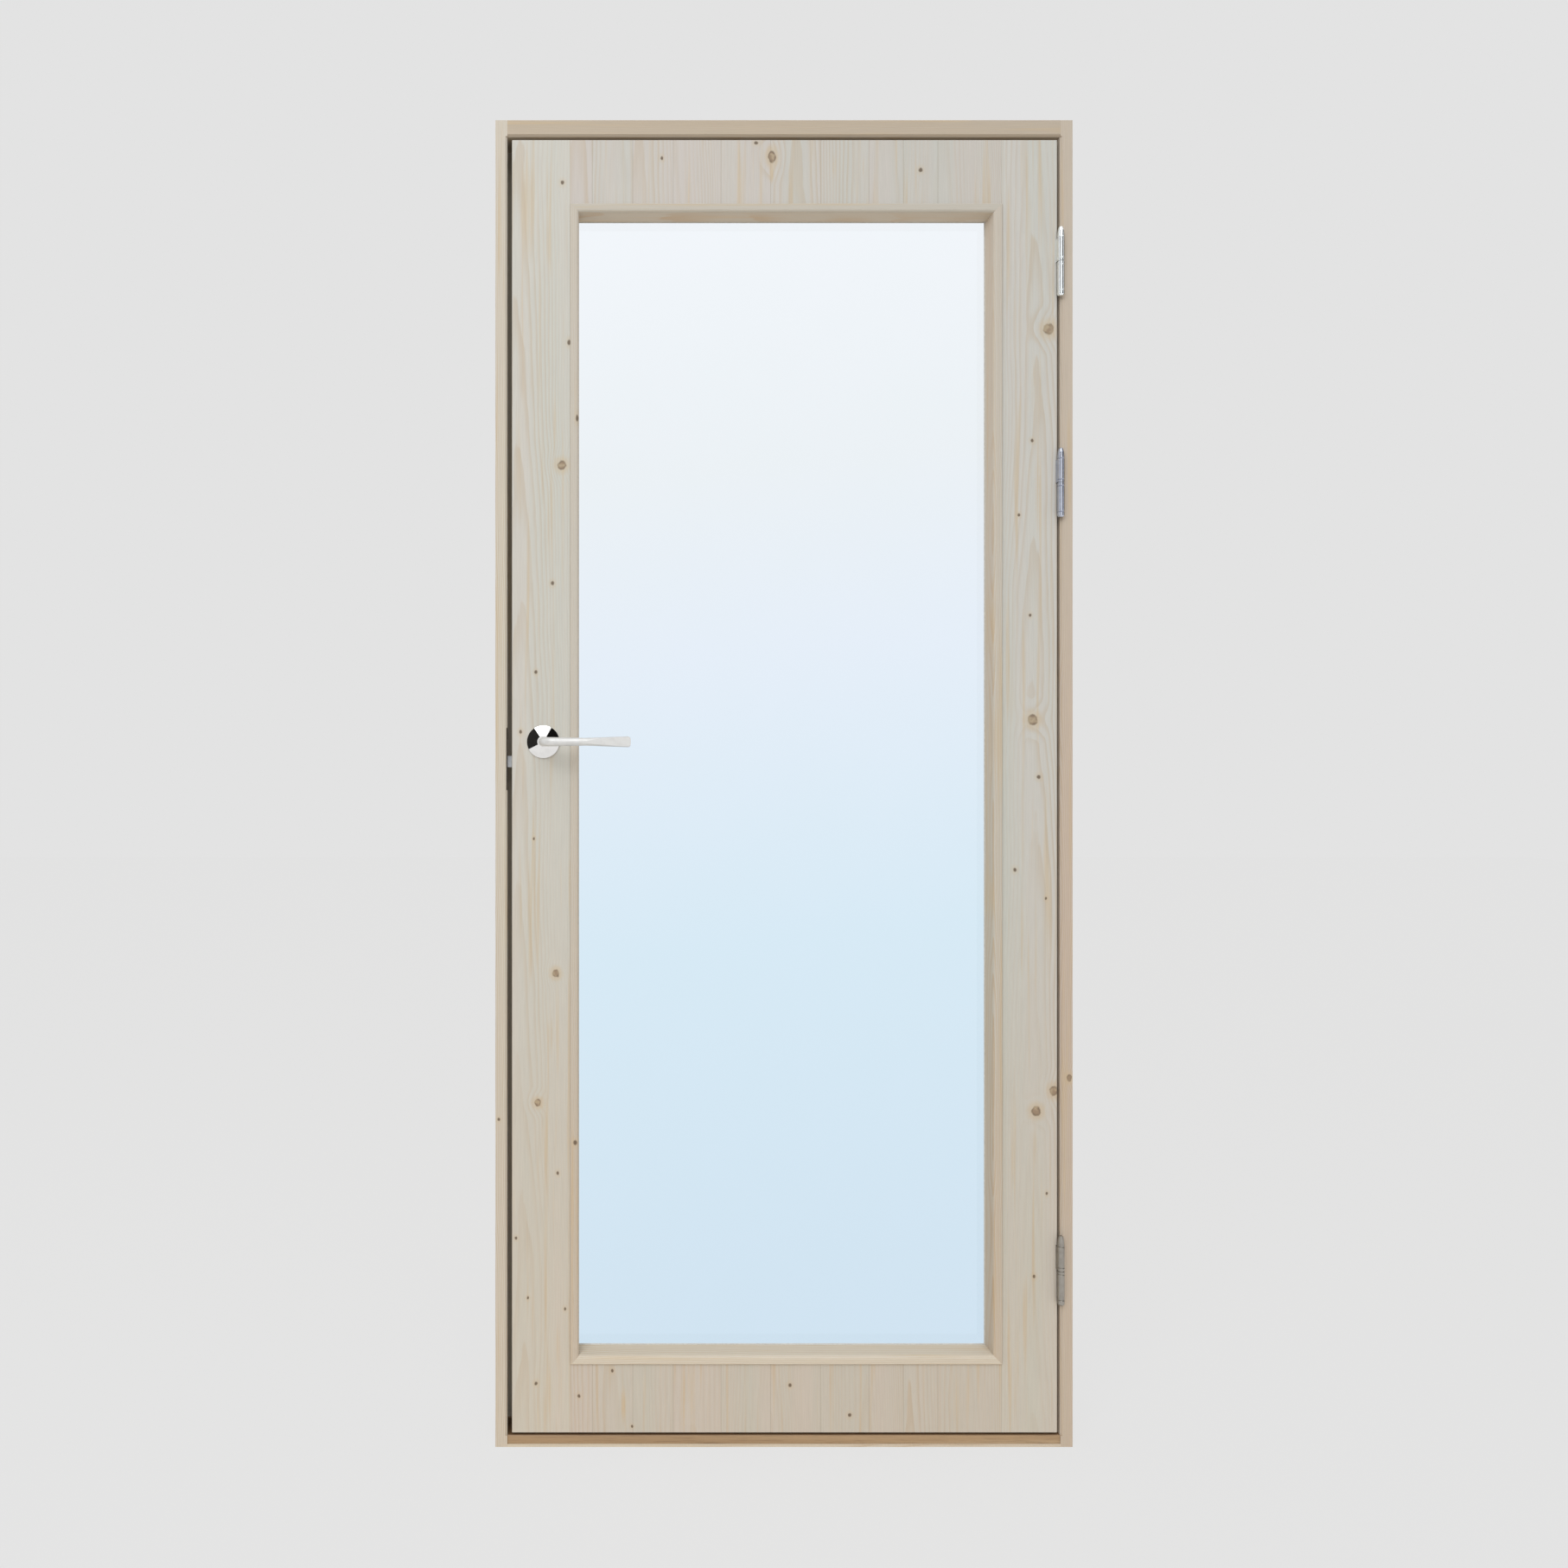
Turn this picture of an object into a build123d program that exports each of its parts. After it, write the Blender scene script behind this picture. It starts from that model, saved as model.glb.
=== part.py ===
"""Glazed interior door of spruce, hung on three lift-off hinges in its rebated frame.

Sizes are in millimetres. X runs to the right as the door is faced, Y runs away from the
viewer and Z runs up. The origin is the middle of the sill's underside, half way through
the depth of the frame. The door is shown closed, and its leaf opens towards the viewer.
"""

import os

from build123d import *

# Frame
FRAME_WIDTH = 870
FRAME_HEIGHT = 2000
FRAME_DEPTH = 92
JAMB_FACE = 18
HEAD_FACE = 24
STOP_STEP = 22
STOP_ARRIS = 1.5
FRAME_CHAMFER = 3

# Sill board and the hardwood threshold on it
SILL_BOARD_HEIGHT = 4
THRESHOLD_HEIGHT = 13
THRESHOLD_SETBACK = 2
THRESHOLD_STOP = 15
THRESHOLD_ROUND = 3

# Leaf, with the gaps that it swings in
LEAF_THICKNESS = 45
LOCK_GAP = 7
HINGE_GAP = 5
HEAD_GAP = 6
FLOOR_GAP = 5
STOP_GAP = 5
LOCK_STILE_WIDTH = 88
HINGE_STILE_WIDTH = 84
TOP_RAIL_WIDTH = 97
BOTTOM_RAIL_WIDTH = 104
LEAF_ARRIS = 1.5

# Glass and the beads that hold it
BEAD_WIDTH = 13
BEAD_PROUD = 4
BEAD_INNER_ROUND = 5
BEAD_OUTER_ROUND = 1.5
GLASS_SETBACK = 31
GLASS_THICKNESS = 5
GLASS_EDGE_GAP = 3

# Lift-off hinges: one near the foot of the leaf and two near its head
LOWER_HINGE_RISE = 247
UPPER_HINGE_DROP = 185
MIDDLE_HINGE_SPACING = 332.5
HINGE_FORWARD = 6
KNUCKLE_RADIUS = 5
UPPER_KNUCKLE_LENGTH = 35
LOWER_KNUCKLE_LENGTH = 42
HINGE_FINIAL_LENGTH = 15
HINGE_FINIAL_SHOULDER = 9
HINGE_FINIAL_SHOULDER_RADIUS = 4.2
HINGE_FINIAL_TIP_RADIUS = 2.8
HINGE_FINIAL_TIP_CHAMFER = 1
HINGE_FOOT_LENGTH = 7
HINGE_FOOT_CHAMFER = 1.8
HINGE_GROOVE_WIDTH = 1.6
HINGE_GROOVE_DEPTH = 0.8
HINGE_BAND_INSET = 5
HINGE_PIN_RADIUS = 2.5
HINGE_PIN_LENGTH = 30
HINGE_PIN_CLEARANCE = 0.06
HINGE_PIN_HEADROOM = 2
HINGE_PLATE_WIDTH = 32
HINGE_PLATE_CORNER = 6
HINGE_WASHER_THICKNESS = 1.2
HINGE_WASHER_RADIUS = 4
HINGE_LIFT_GAP = 0.3
MORTISE_CLEARANCE = 0.2

# Mortise lock and its latch
SPINDLE_HEIGHT = 1063
BACKSET = 47
LOCK_DROP = 26
LATCH_DROP = 30
FOREND_LENGTH = 165
FOREND_WIDTH = 20
FOREND_THICKNESS = 3
LOCK_CASE_DEPTH = 66
LOCK_CASE_HEIGHT = 110
LOCK_CASE_THICKNESS = 14
LATCH_HEIGHT = 17
LATCH_THICKNESS = 11
LATCH_THROW = 12
LATCH_TAIL = 24
LATCH_CLEARANCE = 0.3
LATCH_TIP = 3

# Strike plate in the lock jamb
STRIKE_LENGTH = 94
STRIKE_WIDTH = 36
STRIKE_THICKNESS = 2
STRIKE_LIP = 1.5
STRIKE_LATCH_GAP = 1.5
STRIKE_POCKET_DEPTH = 7

# Roses, levers and spindle
ROSE_RADIUS = 24.5
ROSE_RIM = 2.5
ROSE_CONE = 7
ROSE_CROWN_RADIUS = 9
NECK_RADIUS = 6.7
NECK_CLEARANCE = 0.08
NECK_END_GAP = 0.5
LEVER_STANDOFF = 48
LEVER_ELBOW_RADIUS = 14
LEVER_LENGTH = 127
LEVER_WAIST_REACH = 62
LEVER_WAIST_RADIUS = 5.7
LEVER_TIP_RADIUS = 8.2
LEVER_TIP_THICKNESS = 7.6
LEVER_FLAT_START = 18
LEVER_TIP_ROUND = 4
SPINDLE_SIZE = 8
SPINDLE_FIT = 0.1
SPINDLE_GRIP = 20
SPINDLE_HOLE_RADIUS = 10
FOLLOWER_CLEARANCE = 0.5

# Places that follow from the sizes above
FRONT_Y = -FRAME_DEPTH / 2
BACK_Y = FRAME_DEPTH / 2
OUTER_X = FRAME_WIDTH / 2
REBATE_X = OUTER_X - JAMB_FACE
STOP_X = REBATE_X - STOP_STEP
HEAD_REBATE_Z = FRAME_HEIGHT - HEAD_FACE
THRESHOLD_TOP = SILL_BOARD_HEIGHT + THRESHOLD_HEIGHT

LEAF_LEFT = -REBATE_X + LOCK_GAP
LEAF_RIGHT = REBATE_X - HINGE_GAP
LEAF_BOTTOM = THRESHOLD_TOP + FLOOR_GAP
LEAF_TOP = HEAD_REBATE_Z - HEAD_GAP
LEAF_BACK_Y = FRONT_Y + LEAF_THICKNESS
LEAF_MID_Y = FRONT_Y + LEAF_THICKNESS / 2
STOP_Y = LEAF_BACK_Y + STOP_GAP

GLAZED_LEFT = LEAF_LEFT + LOCK_STILE_WIDTH
GLAZED_RIGHT = LEAF_RIGHT - HINGE_STILE_WIDTH
GLAZED_BOTTOM = LEAF_BOTTOM + BOTTOM_RAIL_WIDTH
GLAZED_TOP = LEAF_TOP - TOP_RAIL_WIDTH
GLASS_FRONT_Y = FRONT_Y + GLASS_SETBACK
GLASS_BACK_Y = GLASS_FRONT_Y + GLASS_THICKNESS

HINGE_X = (LEAF_RIGHT + REBATE_X) / 2
HINGE_Y = FRONT_Y - HINGE_FORWARD
HINGE_PLATE_THICKNESS = LEAF_RIGHT - (HINGE_X - KNUCKLE_RADIUS)
HINGE_PLATE_BACK_Y = FRONT_Y + HINGE_PLATE_WIDTH
HINGE_HEIGHTS = {
    "lower": LEAF_BOTTOM + LOWER_HINGE_RISE,
    "middle": LEAF_TOP - UPPER_HINGE_DROP - MIDDLE_HINGE_SPACING,
    "upper": LEAF_TOP - UPPER_HINGE_DROP,
}

SPINDLE_X = LEAF_LEFT + BACKSET
LOCK_Z = SPINDLE_HEIGHT - LOCK_DROP
LATCH_Z = SPINDLE_HEIGHT - LATCH_DROP
LOCK_CASE_X = LEAF_LEFT + FOREND_THICKNESS
ELBOW_Y = FRONT_Y - LEVER_STANDOFF + LEVER_ELBOW_RADIUS
LEVER_BAR_Y = FRONT_Y - LEVER_STANDOFF


def block(x, y, z, mode=Mode.ADD):
    """A plain block between two values along each axis, added to or cut from the part in hand."""
    with Locations(((x[0] + x[1]) / 2, (y[0] + y[1]) / 2, (z[0] + z[1]) / 2)):
        Box(x[1] - x[0], y[1] - y[0], z[1] - z[0], mode=mode)


def jamb_board(x, face_x, inward):
    """One jamb at full height, its front edge chamfered beside the leaf and square at head and sill."""
    block(x, (FRONT_Y, BACK_Y), (0, FRAME_HEIGHT))
    with BuildSketch(Plane.XY.offset(THRESHOLD_TOP)) as arris:
        with BuildLine():
            Polyline(
                (face_x, FRONT_Y),
                (face_x - inward * FRAME_CHAMFER, FRONT_Y),
                (face_x, FRONT_Y + FRAME_CHAMFER),
                close=True,
            )
        make_face()
    extrude(arris.sketch, amount=HEAD_REBATE_Z - THRESHOLD_TOP, mode=Mode.SUBTRACT)


def hinge_mortise(face_x, depth, low_z, high_z):
    """The sunk bed for a hinge plate in the edge of the leaf or in the face of the jamb."""
    with BuildSketch(Plane.YZ.offset(face_x)) as bed:
        with BuildLine():
            Polyline(
                (FRONT_Y - HINGE_FORWARD, low_z - MORTISE_CLEARANCE),
                (HINGE_PLATE_BACK_Y + MORTISE_CLEARANCE, low_z - MORTISE_CLEARANCE),
                (HINGE_PLATE_BACK_Y + MORTISE_CLEARANCE, high_z + MORTISE_CLEARANCE),
                (FRONT_Y - HINGE_FORWARD, high_z + MORTISE_CLEARANCE),
                close=True,
            )
        make_face()
        fillet(bed.vertices().group_by(Axis.Y)[-1], HINGE_PLATE_CORNER)
    extrude(bed.sketch, amount=depth, mode=Mode.SUBTRACT)


def hinge_plate(low_x, low_z, high_z):
    """The flat tail of a hinge half, tangent to its knuckle, with the far corners rounded."""
    with BuildSketch(Plane.YZ.offset(low_x)) as outline:
        with BuildLine():
            Polyline(
                (HINGE_Y, low_z),
                (HINGE_PLATE_BACK_Y, low_z),
                (HINGE_PLATE_BACK_Y, high_z),
                (HINGE_Y, high_z),
                close=True,
            )
        make_face()
        fillet(outline.vertices().group_by(Axis.Y)[-1], HINGE_PLATE_CORNER)
    extrude(outline.sketch, amount=HINGE_PLATE_THICKNESS)


def glazing_bead(corners, back_y, depth, front):
    """One bead cut to mitred ends, with its edge over the glass well rounded and its outer edge eased.

    The bead fills the four corners from back_y towards the viewer; front says which face shows.
    """
    with BuildPart() as bead:
        with BuildSketch(Plane.XZ.offset(-back_y)):
            with BuildLine():
                Polyline(*corners, close=True)
            make_face()
        extrude(amount=depth)
        face_edges = bead.edges().group_by(Axis.Y)[0 if front else -1]
        middle = ((GLAZED_LEFT + GLAZED_RIGHT) / 2, back_y, (GLAZED_BOTTOM + GLAZED_TOP) / 2)
        inner = face_edges.sort_by_distance(middle)[0]
        outer = face_edges.sort_by(SortBy.LENGTH)[-1]
        fillet(inner, BEAD_INNER_ROUND)
        fillet(bead.edges().sort_by_distance(outer.center())[0], BEAD_OUTER_ROUND)
    return bead.part


os.makedirs("parts", exist_ok=True)


# Lock jamb: the full height of the frame, with the bed and the pocket for the strike plate
STRIKE_LOW = LOCK_Z - STRIKE_LENGTH / 2
STRIKE_BACK_Y = FRONT_Y + STRIKE_WIDTH
LATCH_LOW = LATCH_Z - LATCH_HEIGHT / 2
LATCH_HIGH = LATCH_Z + LATCH_HEIGHT / 2
LATCH_FRONT_Y = LEAF_MID_Y - LATCH_THICKNESS / 2
LATCH_BACK_Y = LEAF_MID_Y + LATCH_THICKNESS / 2
STRIKE_HOLE_Y = (LATCH_FRONT_Y - STRIKE_LATCH_GAP, LATCH_BACK_Y + STRIKE_LATCH_GAP)
STRIKE_HOLE_Z = (LATCH_LOW - STRIKE_LATCH_GAP, LATCH_HIGH + STRIKE_LATCH_GAP)


def strike_section():
    """The strike plate in plan: flat on the rebate, with a short front lip bent along the chamfer."""
    with BuildSketch(Plane.XY.offset(STRIKE_LOW)) as section:
        with BuildLine():
            Polyline(
                (-REBATE_X, STRIKE_BACK_Y),
                (-REBATE_X, FRONT_Y + FRAME_CHAMFER),
                (-REBATE_X - STRIKE_LIP, FRONT_Y + FRAME_CHAMFER - STRIKE_LIP),
                (-REBATE_X - STRIKE_LIP - STRIKE_THICKNESS, FRONT_Y + FRAME_CHAMFER - STRIKE_LIP),
                (-REBATE_X - STRIKE_THICKNESS, FRONT_Y + FRAME_CHAMFER),
                (-REBATE_X - STRIKE_THICKNESS, STRIKE_BACK_Y),
                close=True,
            )
        make_face()
    return section.sketch


with BuildPart() as lock_jamb:
    jamb_board((-OUTER_X, -REBATE_X), -REBATE_X, inward=1)
    extrude(strike_section(), amount=STRIKE_LENGTH, mode=Mode.SUBTRACT)
    block(
        (-REBATE_X - STRIKE_THICKNESS - STRIKE_POCKET_DEPTH, -REBATE_X),
        STRIKE_HOLE_Y,
        STRIKE_HOLE_Z,
        mode=Mode.SUBTRACT,
    )
lock_jamb.part.label = "lock_jamb"
export_step(lock_jamb.part, "parts/lock_jamb.step")

# Strike plate: bent steel, let in flush, with the hole that the latch drops into
with BuildPart() as strike_plate:
    extrude(strike_section(), amount=STRIKE_LENGTH)
    block((-REBATE_X - STRIKE_THICKNESS, -REBATE_X), STRIKE_HOLE_Y, STRIKE_HOLE_Z, mode=Mode.SUBTRACT)
strike_plate.part.label = "strike_plate"
export_step(strike_plate.part, "parts/strike_plate.step")

# Hinge jamb: the same board, with a bed for the lower plate of each hinge
with BuildPart() as hinge_jamb:
    jamb_board((REBATE_X, OUTER_X), REBATE_X, inward=-1)
    for hinge_z in HINGE_HEIGHTS.values():
        seat_z = hinge_z - HINGE_WASHER_THICKNESS
        hinge_mortise(REBATE_X, HINGE_PLATE_THICKNESS, seat_z - LOWER_KNUCKLE_LENGTH, seat_z)
hinge_jamb.part.label = "hinge_jamb"
export_step(hinge_jamb.part, "parts/hinge_jamb.step")

# Head: the same board laid across the top, between the jambs
with BuildPart() as head:
    block((-REBATE_X, REBATE_X), (FRONT_Y, BACK_Y), (HEAD_REBATE_Z, FRAME_HEIGHT))
    lower_front = head.edges().filter_by(Axis.X).group_by(Axis.Y)[0].sort_by(Axis.Z)[0]
    chamfer(lower_front, FRAME_CHAMFER)
head.part.label = "head"
export_step(head.part, "parts/head.step")

# Sill board: the thin spruce board that ties the feet of the jambs
with BuildPart() as sill_board:
    block((-REBATE_X, REBATE_X), (FRONT_Y, BACK_Y), (0, SILL_BOARD_HEIGHT))
sill_board.part.label = "sill_board"
export_step(sill_board.part, "parts/sill_board.step")

# Threshold: hardwood on the sill board, low under the leaf and raised behind it as the stop
with BuildPart() as threshold:
    block((-REBATE_X, REBATE_X), (FRONT_Y + THRESHOLD_SETBACK, BACK_Y), (SILL_BOARD_HEIGHT, THRESHOLD_TOP))
    block((-STOP_X, STOP_X), (STOP_Y, BACK_Y), (THRESHOLD_TOP, THRESHOLD_TOP + THRESHOLD_STOP))
    long_edges = threshold.edges().filter_by(Axis.X)
    nosing = long_edges.group_by(Axis.Y)[0].sort_by(Axis.Z)[-1]
    stop_top = long_edges.group_by(Axis.Z)[-1]
    fillet([nosing, *stop_top], THRESHOLD_ROUND)
threshold.part.label = "threshold"
export_step(threshold.part, "parts/threshold.step")

# Stops: strips planted on the jambs and under the head, where the closed leaf stands against them
STOPS = {
    "lock_stop": ((-REBATE_X, -STOP_X), (THRESHOLD_TOP, HEAD_REBATE_Z)),
    "hinge_stop": ((STOP_X, REBATE_X), (THRESHOLD_TOP, HEAD_REBATE_Z)),
    "head_stop": ((-STOP_X, STOP_X), (HEAD_REBATE_Z - STOP_STEP, HEAD_REBATE_Z)),
}
DOORWAY_MIDDLE = (0, (STOP_Y + BACK_Y) / 2, (THRESHOLD_TOP + HEAD_REBATE_Z) / 2)
for name, (width, height) in STOPS.items():
    with BuildPart() as stop:
        block(width, (STOP_Y, BACK_Y), height)
        long_edges = stop.edges().sort_by(SortBy.LENGTH)[-4:]
        fillet(long_edges.sort_by_distance(DOORWAY_MIDDLE)[:2], STOP_ARRIS)
    stop.part.label = name
    export_step(stop.part, f"parts/{name}.step")

# Lock stile: full height, with the recess and mortise for the lock and the spindle hole
with BuildPart() as lock_stile:
    block((LEAF_LEFT, GLAZED_LEFT), (FRONT_Y, LEAF_BACK_Y), (LEAF_BOTTOM, LEAF_TOP))
    fillet(lock_stile.edges().filter_by(Axis.Z).group_by(Axis.X)[0], LEAF_ARRIS)
    with BuildSketch(Plane.YZ.offset(LEAF_LEFT)):
        with Locations((LEAF_MID_Y, LOCK_Z)):
            SlotOverall(
                FOREND_LENGTH + 2 * MORTISE_CLEARANCE,
                FOREND_WIDTH + 2 * MORTISE_CLEARANCE,
                rotation=90,
            )
    extrude(amount=FOREND_THICKNESS, mode=Mode.SUBTRACT)
    block(
        (LEAF_LEFT, LOCK_CASE_X + LOCK_CASE_DEPTH + MORTISE_CLEARANCE),
        (
            LEAF_MID_Y - LOCK_CASE_THICKNESS / 2 - MORTISE_CLEARANCE,
            LEAF_MID_Y + LOCK_CASE_THICKNESS / 2 + MORTISE_CLEARANCE,
        ),
        (
            LOCK_Z - LOCK_CASE_HEIGHT / 2 - MORTISE_CLEARANCE,
            LOCK_Z + LOCK_CASE_HEIGHT / 2 + MORTISE_CLEARANCE,
        ),
        mode=Mode.SUBTRACT,
    )
    with BuildSketch(Plane.XZ.offset(-FRONT_Y)):
        with Locations((SPINDLE_X, SPINDLE_HEIGHT)):
            Circle(SPINDLE_HOLE_RADIUS)
    extrude(amount=-LEAF_THICKNESS, mode=Mode.SUBTRACT)
lock_stile.part.label = "lock_stile"
export_step(lock_stile.part, "parts/lock_stile.step")

# Hinge stile: full height, with a bed for the upper plate of each hinge
with BuildPart() as hinge_stile:
    block((GLAZED_RIGHT, LEAF_RIGHT), (FRONT_Y, LEAF_BACK_Y), (LEAF_BOTTOM, LEAF_TOP))
    fillet(hinge_stile.edges().filter_by(Axis.Z).group_by(Axis.X)[-1], LEAF_ARRIS)
    for hinge_z in HINGE_HEIGHTS.values():
        lift_z = hinge_z + HINGE_LIFT_GAP
        hinge_mortise(LEAF_RIGHT, -HINGE_PLATE_THICKNESS, lift_z, lift_z + UPPER_KNUCKLE_LENGTH)
hinge_stile.part.label = "hinge_stile"
export_step(hinge_stile.part, "parts/hinge_stile.step")

# Rails: between the stiles, above and below the glass
with BuildPart() as top_rail:
    block((GLAZED_LEFT, GLAZED_RIGHT), (FRONT_Y, LEAF_BACK_Y), (GLAZED_TOP, LEAF_TOP))
top_rail.part.label = "top_rail"
export_step(top_rail.part, "parts/top_rail.step")

with BuildPart() as bottom_rail:
    block((GLAZED_LEFT, GLAZED_RIGHT), (FRONT_Y, LEAF_BACK_Y), (LEAF_BOTTOM, GLAZED_BOTTOM))
bottom_rail.part.label = "bottom_rail"
export_step(bottom_rail.part, "parts/bottom_rail.step")

# Glass pane: held all round between the front and the rear beads
with BuildPart() as glass_pane:
    block(
        (GLAZED_LEFT + GLASS_EDGE_GAP, GLAZED_RIGHT - GLASS_EDGE_GAP),
        (GLASS_FRONT_Y, GLASS_BACK_Y),
        (GLAZED_BOTTOM + GLASS_EDGE_GAP, GLAZED_TOP - GLASS_EDGE_GAP),
    )
glass_pane.part.label = "glass_pane"
export_step(glass_pane.part, "parts/glass_pane.step")

# Glazing beads: four in front and four behind, mitred where they meet
OUTER_CORNERS = (
    (GLAZED_LEFT, GLAZED_BOTTOM),
    (GLAZED_RIGHT, GLAZED_BOTTOM),
    (GLAZED_RIGHT, GLAZED_TOP),
    (GLAZED_LEFT, GLAZED_TOP),
)
INNER_CORNERS = (
    (GLAZED_LEFT + BEAD_WIDTH, GLAZED_BOTTOM + BEAD_WIDTH),
    (GLAZED_RIGHT - BEAD_WIDTH, GLAZED_BOTTOM + BEAD_WIDTH),
    (GLAZED_RIGHT - BEAD_WIDTH, GLAZED_TOP - BEAD_WIDTH),
    (GLAZED_LEFT + BEAD_WIDTH, GLAZED_TOP - BEAD_WIDTH),
)
for number, side in enumerate(("bottom", "hinge_side", "top", "lock_side")):
    following = (number + 1) % len(OUTER_CORNERS)
    outline = (
        OUTER_CORNERS[number],
        OUTER_CORNERS[following],
        INNER_CORNERS[following],
        INNER_CORNERS[number],
    )
    front_bead = glazing_bead(outline, GLASS_FRONT_Y, GLASS_SETBACK + BEAD_PROUD, front=True)
    front_bead.label = f"front_bead_{side}"
    export_step(front_bead, f"parts/front_bead_{side}.step")
    rear_bead_back = LEAF_BACK_Y + BEAD_PROUD
    rear_bead = glazing_bead(outline, rear_bead_back, rear_bead_back - GLASS_BACK_Y, front=False)
    rear_bead.label = f"rear_bead_{side}"
    export_step(rear_bead, f"parts/rear_bead_{side}.step")

# Hinges: turned halves with V grooves near both ends of each knuckle; the leaf half lifts off the pin
HINGE_AXIS = Axis((HINGE_X, HINGE_Y, 0), (0, 0, 1))
KNUCKLE_X = HINGE_X + KNUCKLE_RADIUS
GROOVE_X = KNUCKLE_X - HINGE_GROOVE_DEPTH
PIN_X = HINGE_X + HINGE_PIN_RADIUS
BORE_X = PIN_X + HINGE_PIN_CLEARANCE


def groove(low_z):
    """The three points of a V groove that starts at a height on the knuckle's profile."""
    middle_z = low_z + HINGE_GROOVE_WIDTH / 2
    return (KNUCKLE_X, low_z), (GROOVE_X, middle_z), (KNUCKLE_X, low_z + HINGE_GROOVE_WIDTH)


for position, hinge_z in HINGE_HEIGHTS.items():
    seat_z = hinge_z - HINGE_WASHER_THICKNESS
    knuckle_bottom = seat_z - LOWER_KNUCKLE_LENGTH
    foot_top = knuckle_bottom - HINGE_GROOVE_WIDTH
    foot_z = foot_top - HINGE_FOOT_LENGTH
    pin_top = hinge_z + HINGE_PIN_LENGTH
    with BuildPart() as frame_half:
        hinge_plate(REBATE_X, knuckle_bottom, seat_z)
        with BuildSketch(Plane.XZ.offset(-HINGE_Y)):
            with BuildLine():
                Polyline(
                    (KNUCKLE_X - HINGE_FOOT_CHAMFER, foot_z),
                    (KNUCKLE_X, foot_z + HINGE_FOOT_CHAMFER),
                    *groove(foot_top),
                    *groove(seat_z - HINGE_BAND_INSET),
                    (KNUCKLE_X, seat_z),
                    (HINGE_X + HINGE_WASHER_RADIUS, seat_z),
                    (HINGE_X + HINGE_WASHER_RADIUS, hinge_z),
                    (PIN_X, hinge_z),
                    (PIN_X, pin_top),
                    (HINGE_X, pin_top),
                    (HINGE_X, foot_z),
                    close=True,
                )
            make_face()
        revolve(axis=HINGE_AXIS)
    frame_half.part.label = f"{position}_hinge_frame_half"
    export_step(frame_half.part, f"parts/{position}_hinge_frame_half.step")

    lift_z = hinge_z + HINGE_LIFT_GAP
    knuckle_top = lift_z + UPPER_KNUCKLE_LENGTH
    finial_z = knuckle_top + HINGE_GROOVE_WIDTH
    finial_top = finial_z + HINGE_FINIAL_LENGTH
    bore_top = pin_top + HINGE_PIN_HEADROOM
    with BuildPart() as leaf_half:
        hinge_plate(LEAF_RIGHT - HINGE_PLATE_THICKNESS, lift_z, knuckle_top)
        with BuildSketch(Plane.XZ.offset(-HINGE_Y)):
            with BuildLine():
                Polyline(
                    (HINGE_X, lift_z),
                    (KNUCKLE_X, lift_z),
                    *groove(lift_z + HINGE_BAND_INSET - HINGE_GROOVE_WIDTH),
                    *groove(knuckle_top),
                    (HINGE_X + HINGE_FINIAL_SHOULDER_RADIUS, finial_z + HINGE_FINIAL_SHOULDER),
                    (HINGE_X + HINGE_FINIAL_TIP_RADIUS, finial_top),
                    (HINGE_X, finial_top),
                    close=True,
                )
            make_face()
        revolve(axis=HINGE_AXIS)
        chamfer(leaf_half.edges().sort_by(Axis.Z)[-1], HINGE_FINIAL_TIP_CHAMFER)
        with BuildSketch(Plane.XY.offset(lift_z)):
            with Locations((HINGE_X, HINGE_Y)):
                Circle(BORE_X - HINGE_X)
        extrude(amount=bore_top - lift_z, mode=Mode.SUBTRACT)
    leaf_half.part.label = f"{position}_hinge_leaf_half"
    export_step(leaf_half.part, f"parts/{position}_hinge_leaf_half.step")

# Mortise lock: forend plate and case in one, with the latch's slot and the follower's bore
with BuildPart() as mortise_lock:
    with BuildSketch(Plane.YZ.offset(LEAF_LEFT)):
        with Locations((LEAF_MID_Y, LOCK_Z)):
            SlotOverall(FOREND_LENGTH, FOREND_WIDTH, rotation=90)
    extrude(amount=FOREND_THICKNESS)
    block(
        (LOCK_CASE_X, LOCK_CASE_X + LOCK_CASE_DEPTH),
        (LEAF_MID_Y - LOCK_CASE_THICKNESS / 2, LEAF_MID_Y + LOCK_CASE_THICKNESS / 2),
        (LOCK_Z - LOCK_CASE_HEIGHT / 2, LOCK_Z + LOCK_CASE_HEIGHT / 2),
    )
    block(
        (LEAF_LEFT, LEAF_LEFT + LATCH_TAIL + LATCH_THROW + LATCH_CLEARANCE),
        (LATCH_FRONT_Y - LATCH_CLEARANCE, LATCH_BACK_Y + LATCH_CLEARANCE),
        (LATCH_LOW - LATCH_CLEARANCE, LATCH_HIGH + LATCH_CLEARANCE),
        mode=Mode.SUBTRACT,
    )
    with BuildSketch(Plane.XZ.offset(-LEAF_MID_Y)):
        with Locations((SPINDLE_X, SPINDLE_HEIGHT)):
            Circle(SPINDLE_SIZE / 2 * 2**0.5 + FOLLOWER_CLEARANCE)
    extrude(amount=LOCK_CASE_THICKNESS, both=True, mode=Mode.SUBTRACT)
mortise_lock.part.label = "mortise_lock"
export_step(mortise_lock.part, "parts/mortise_lock.step")

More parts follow.
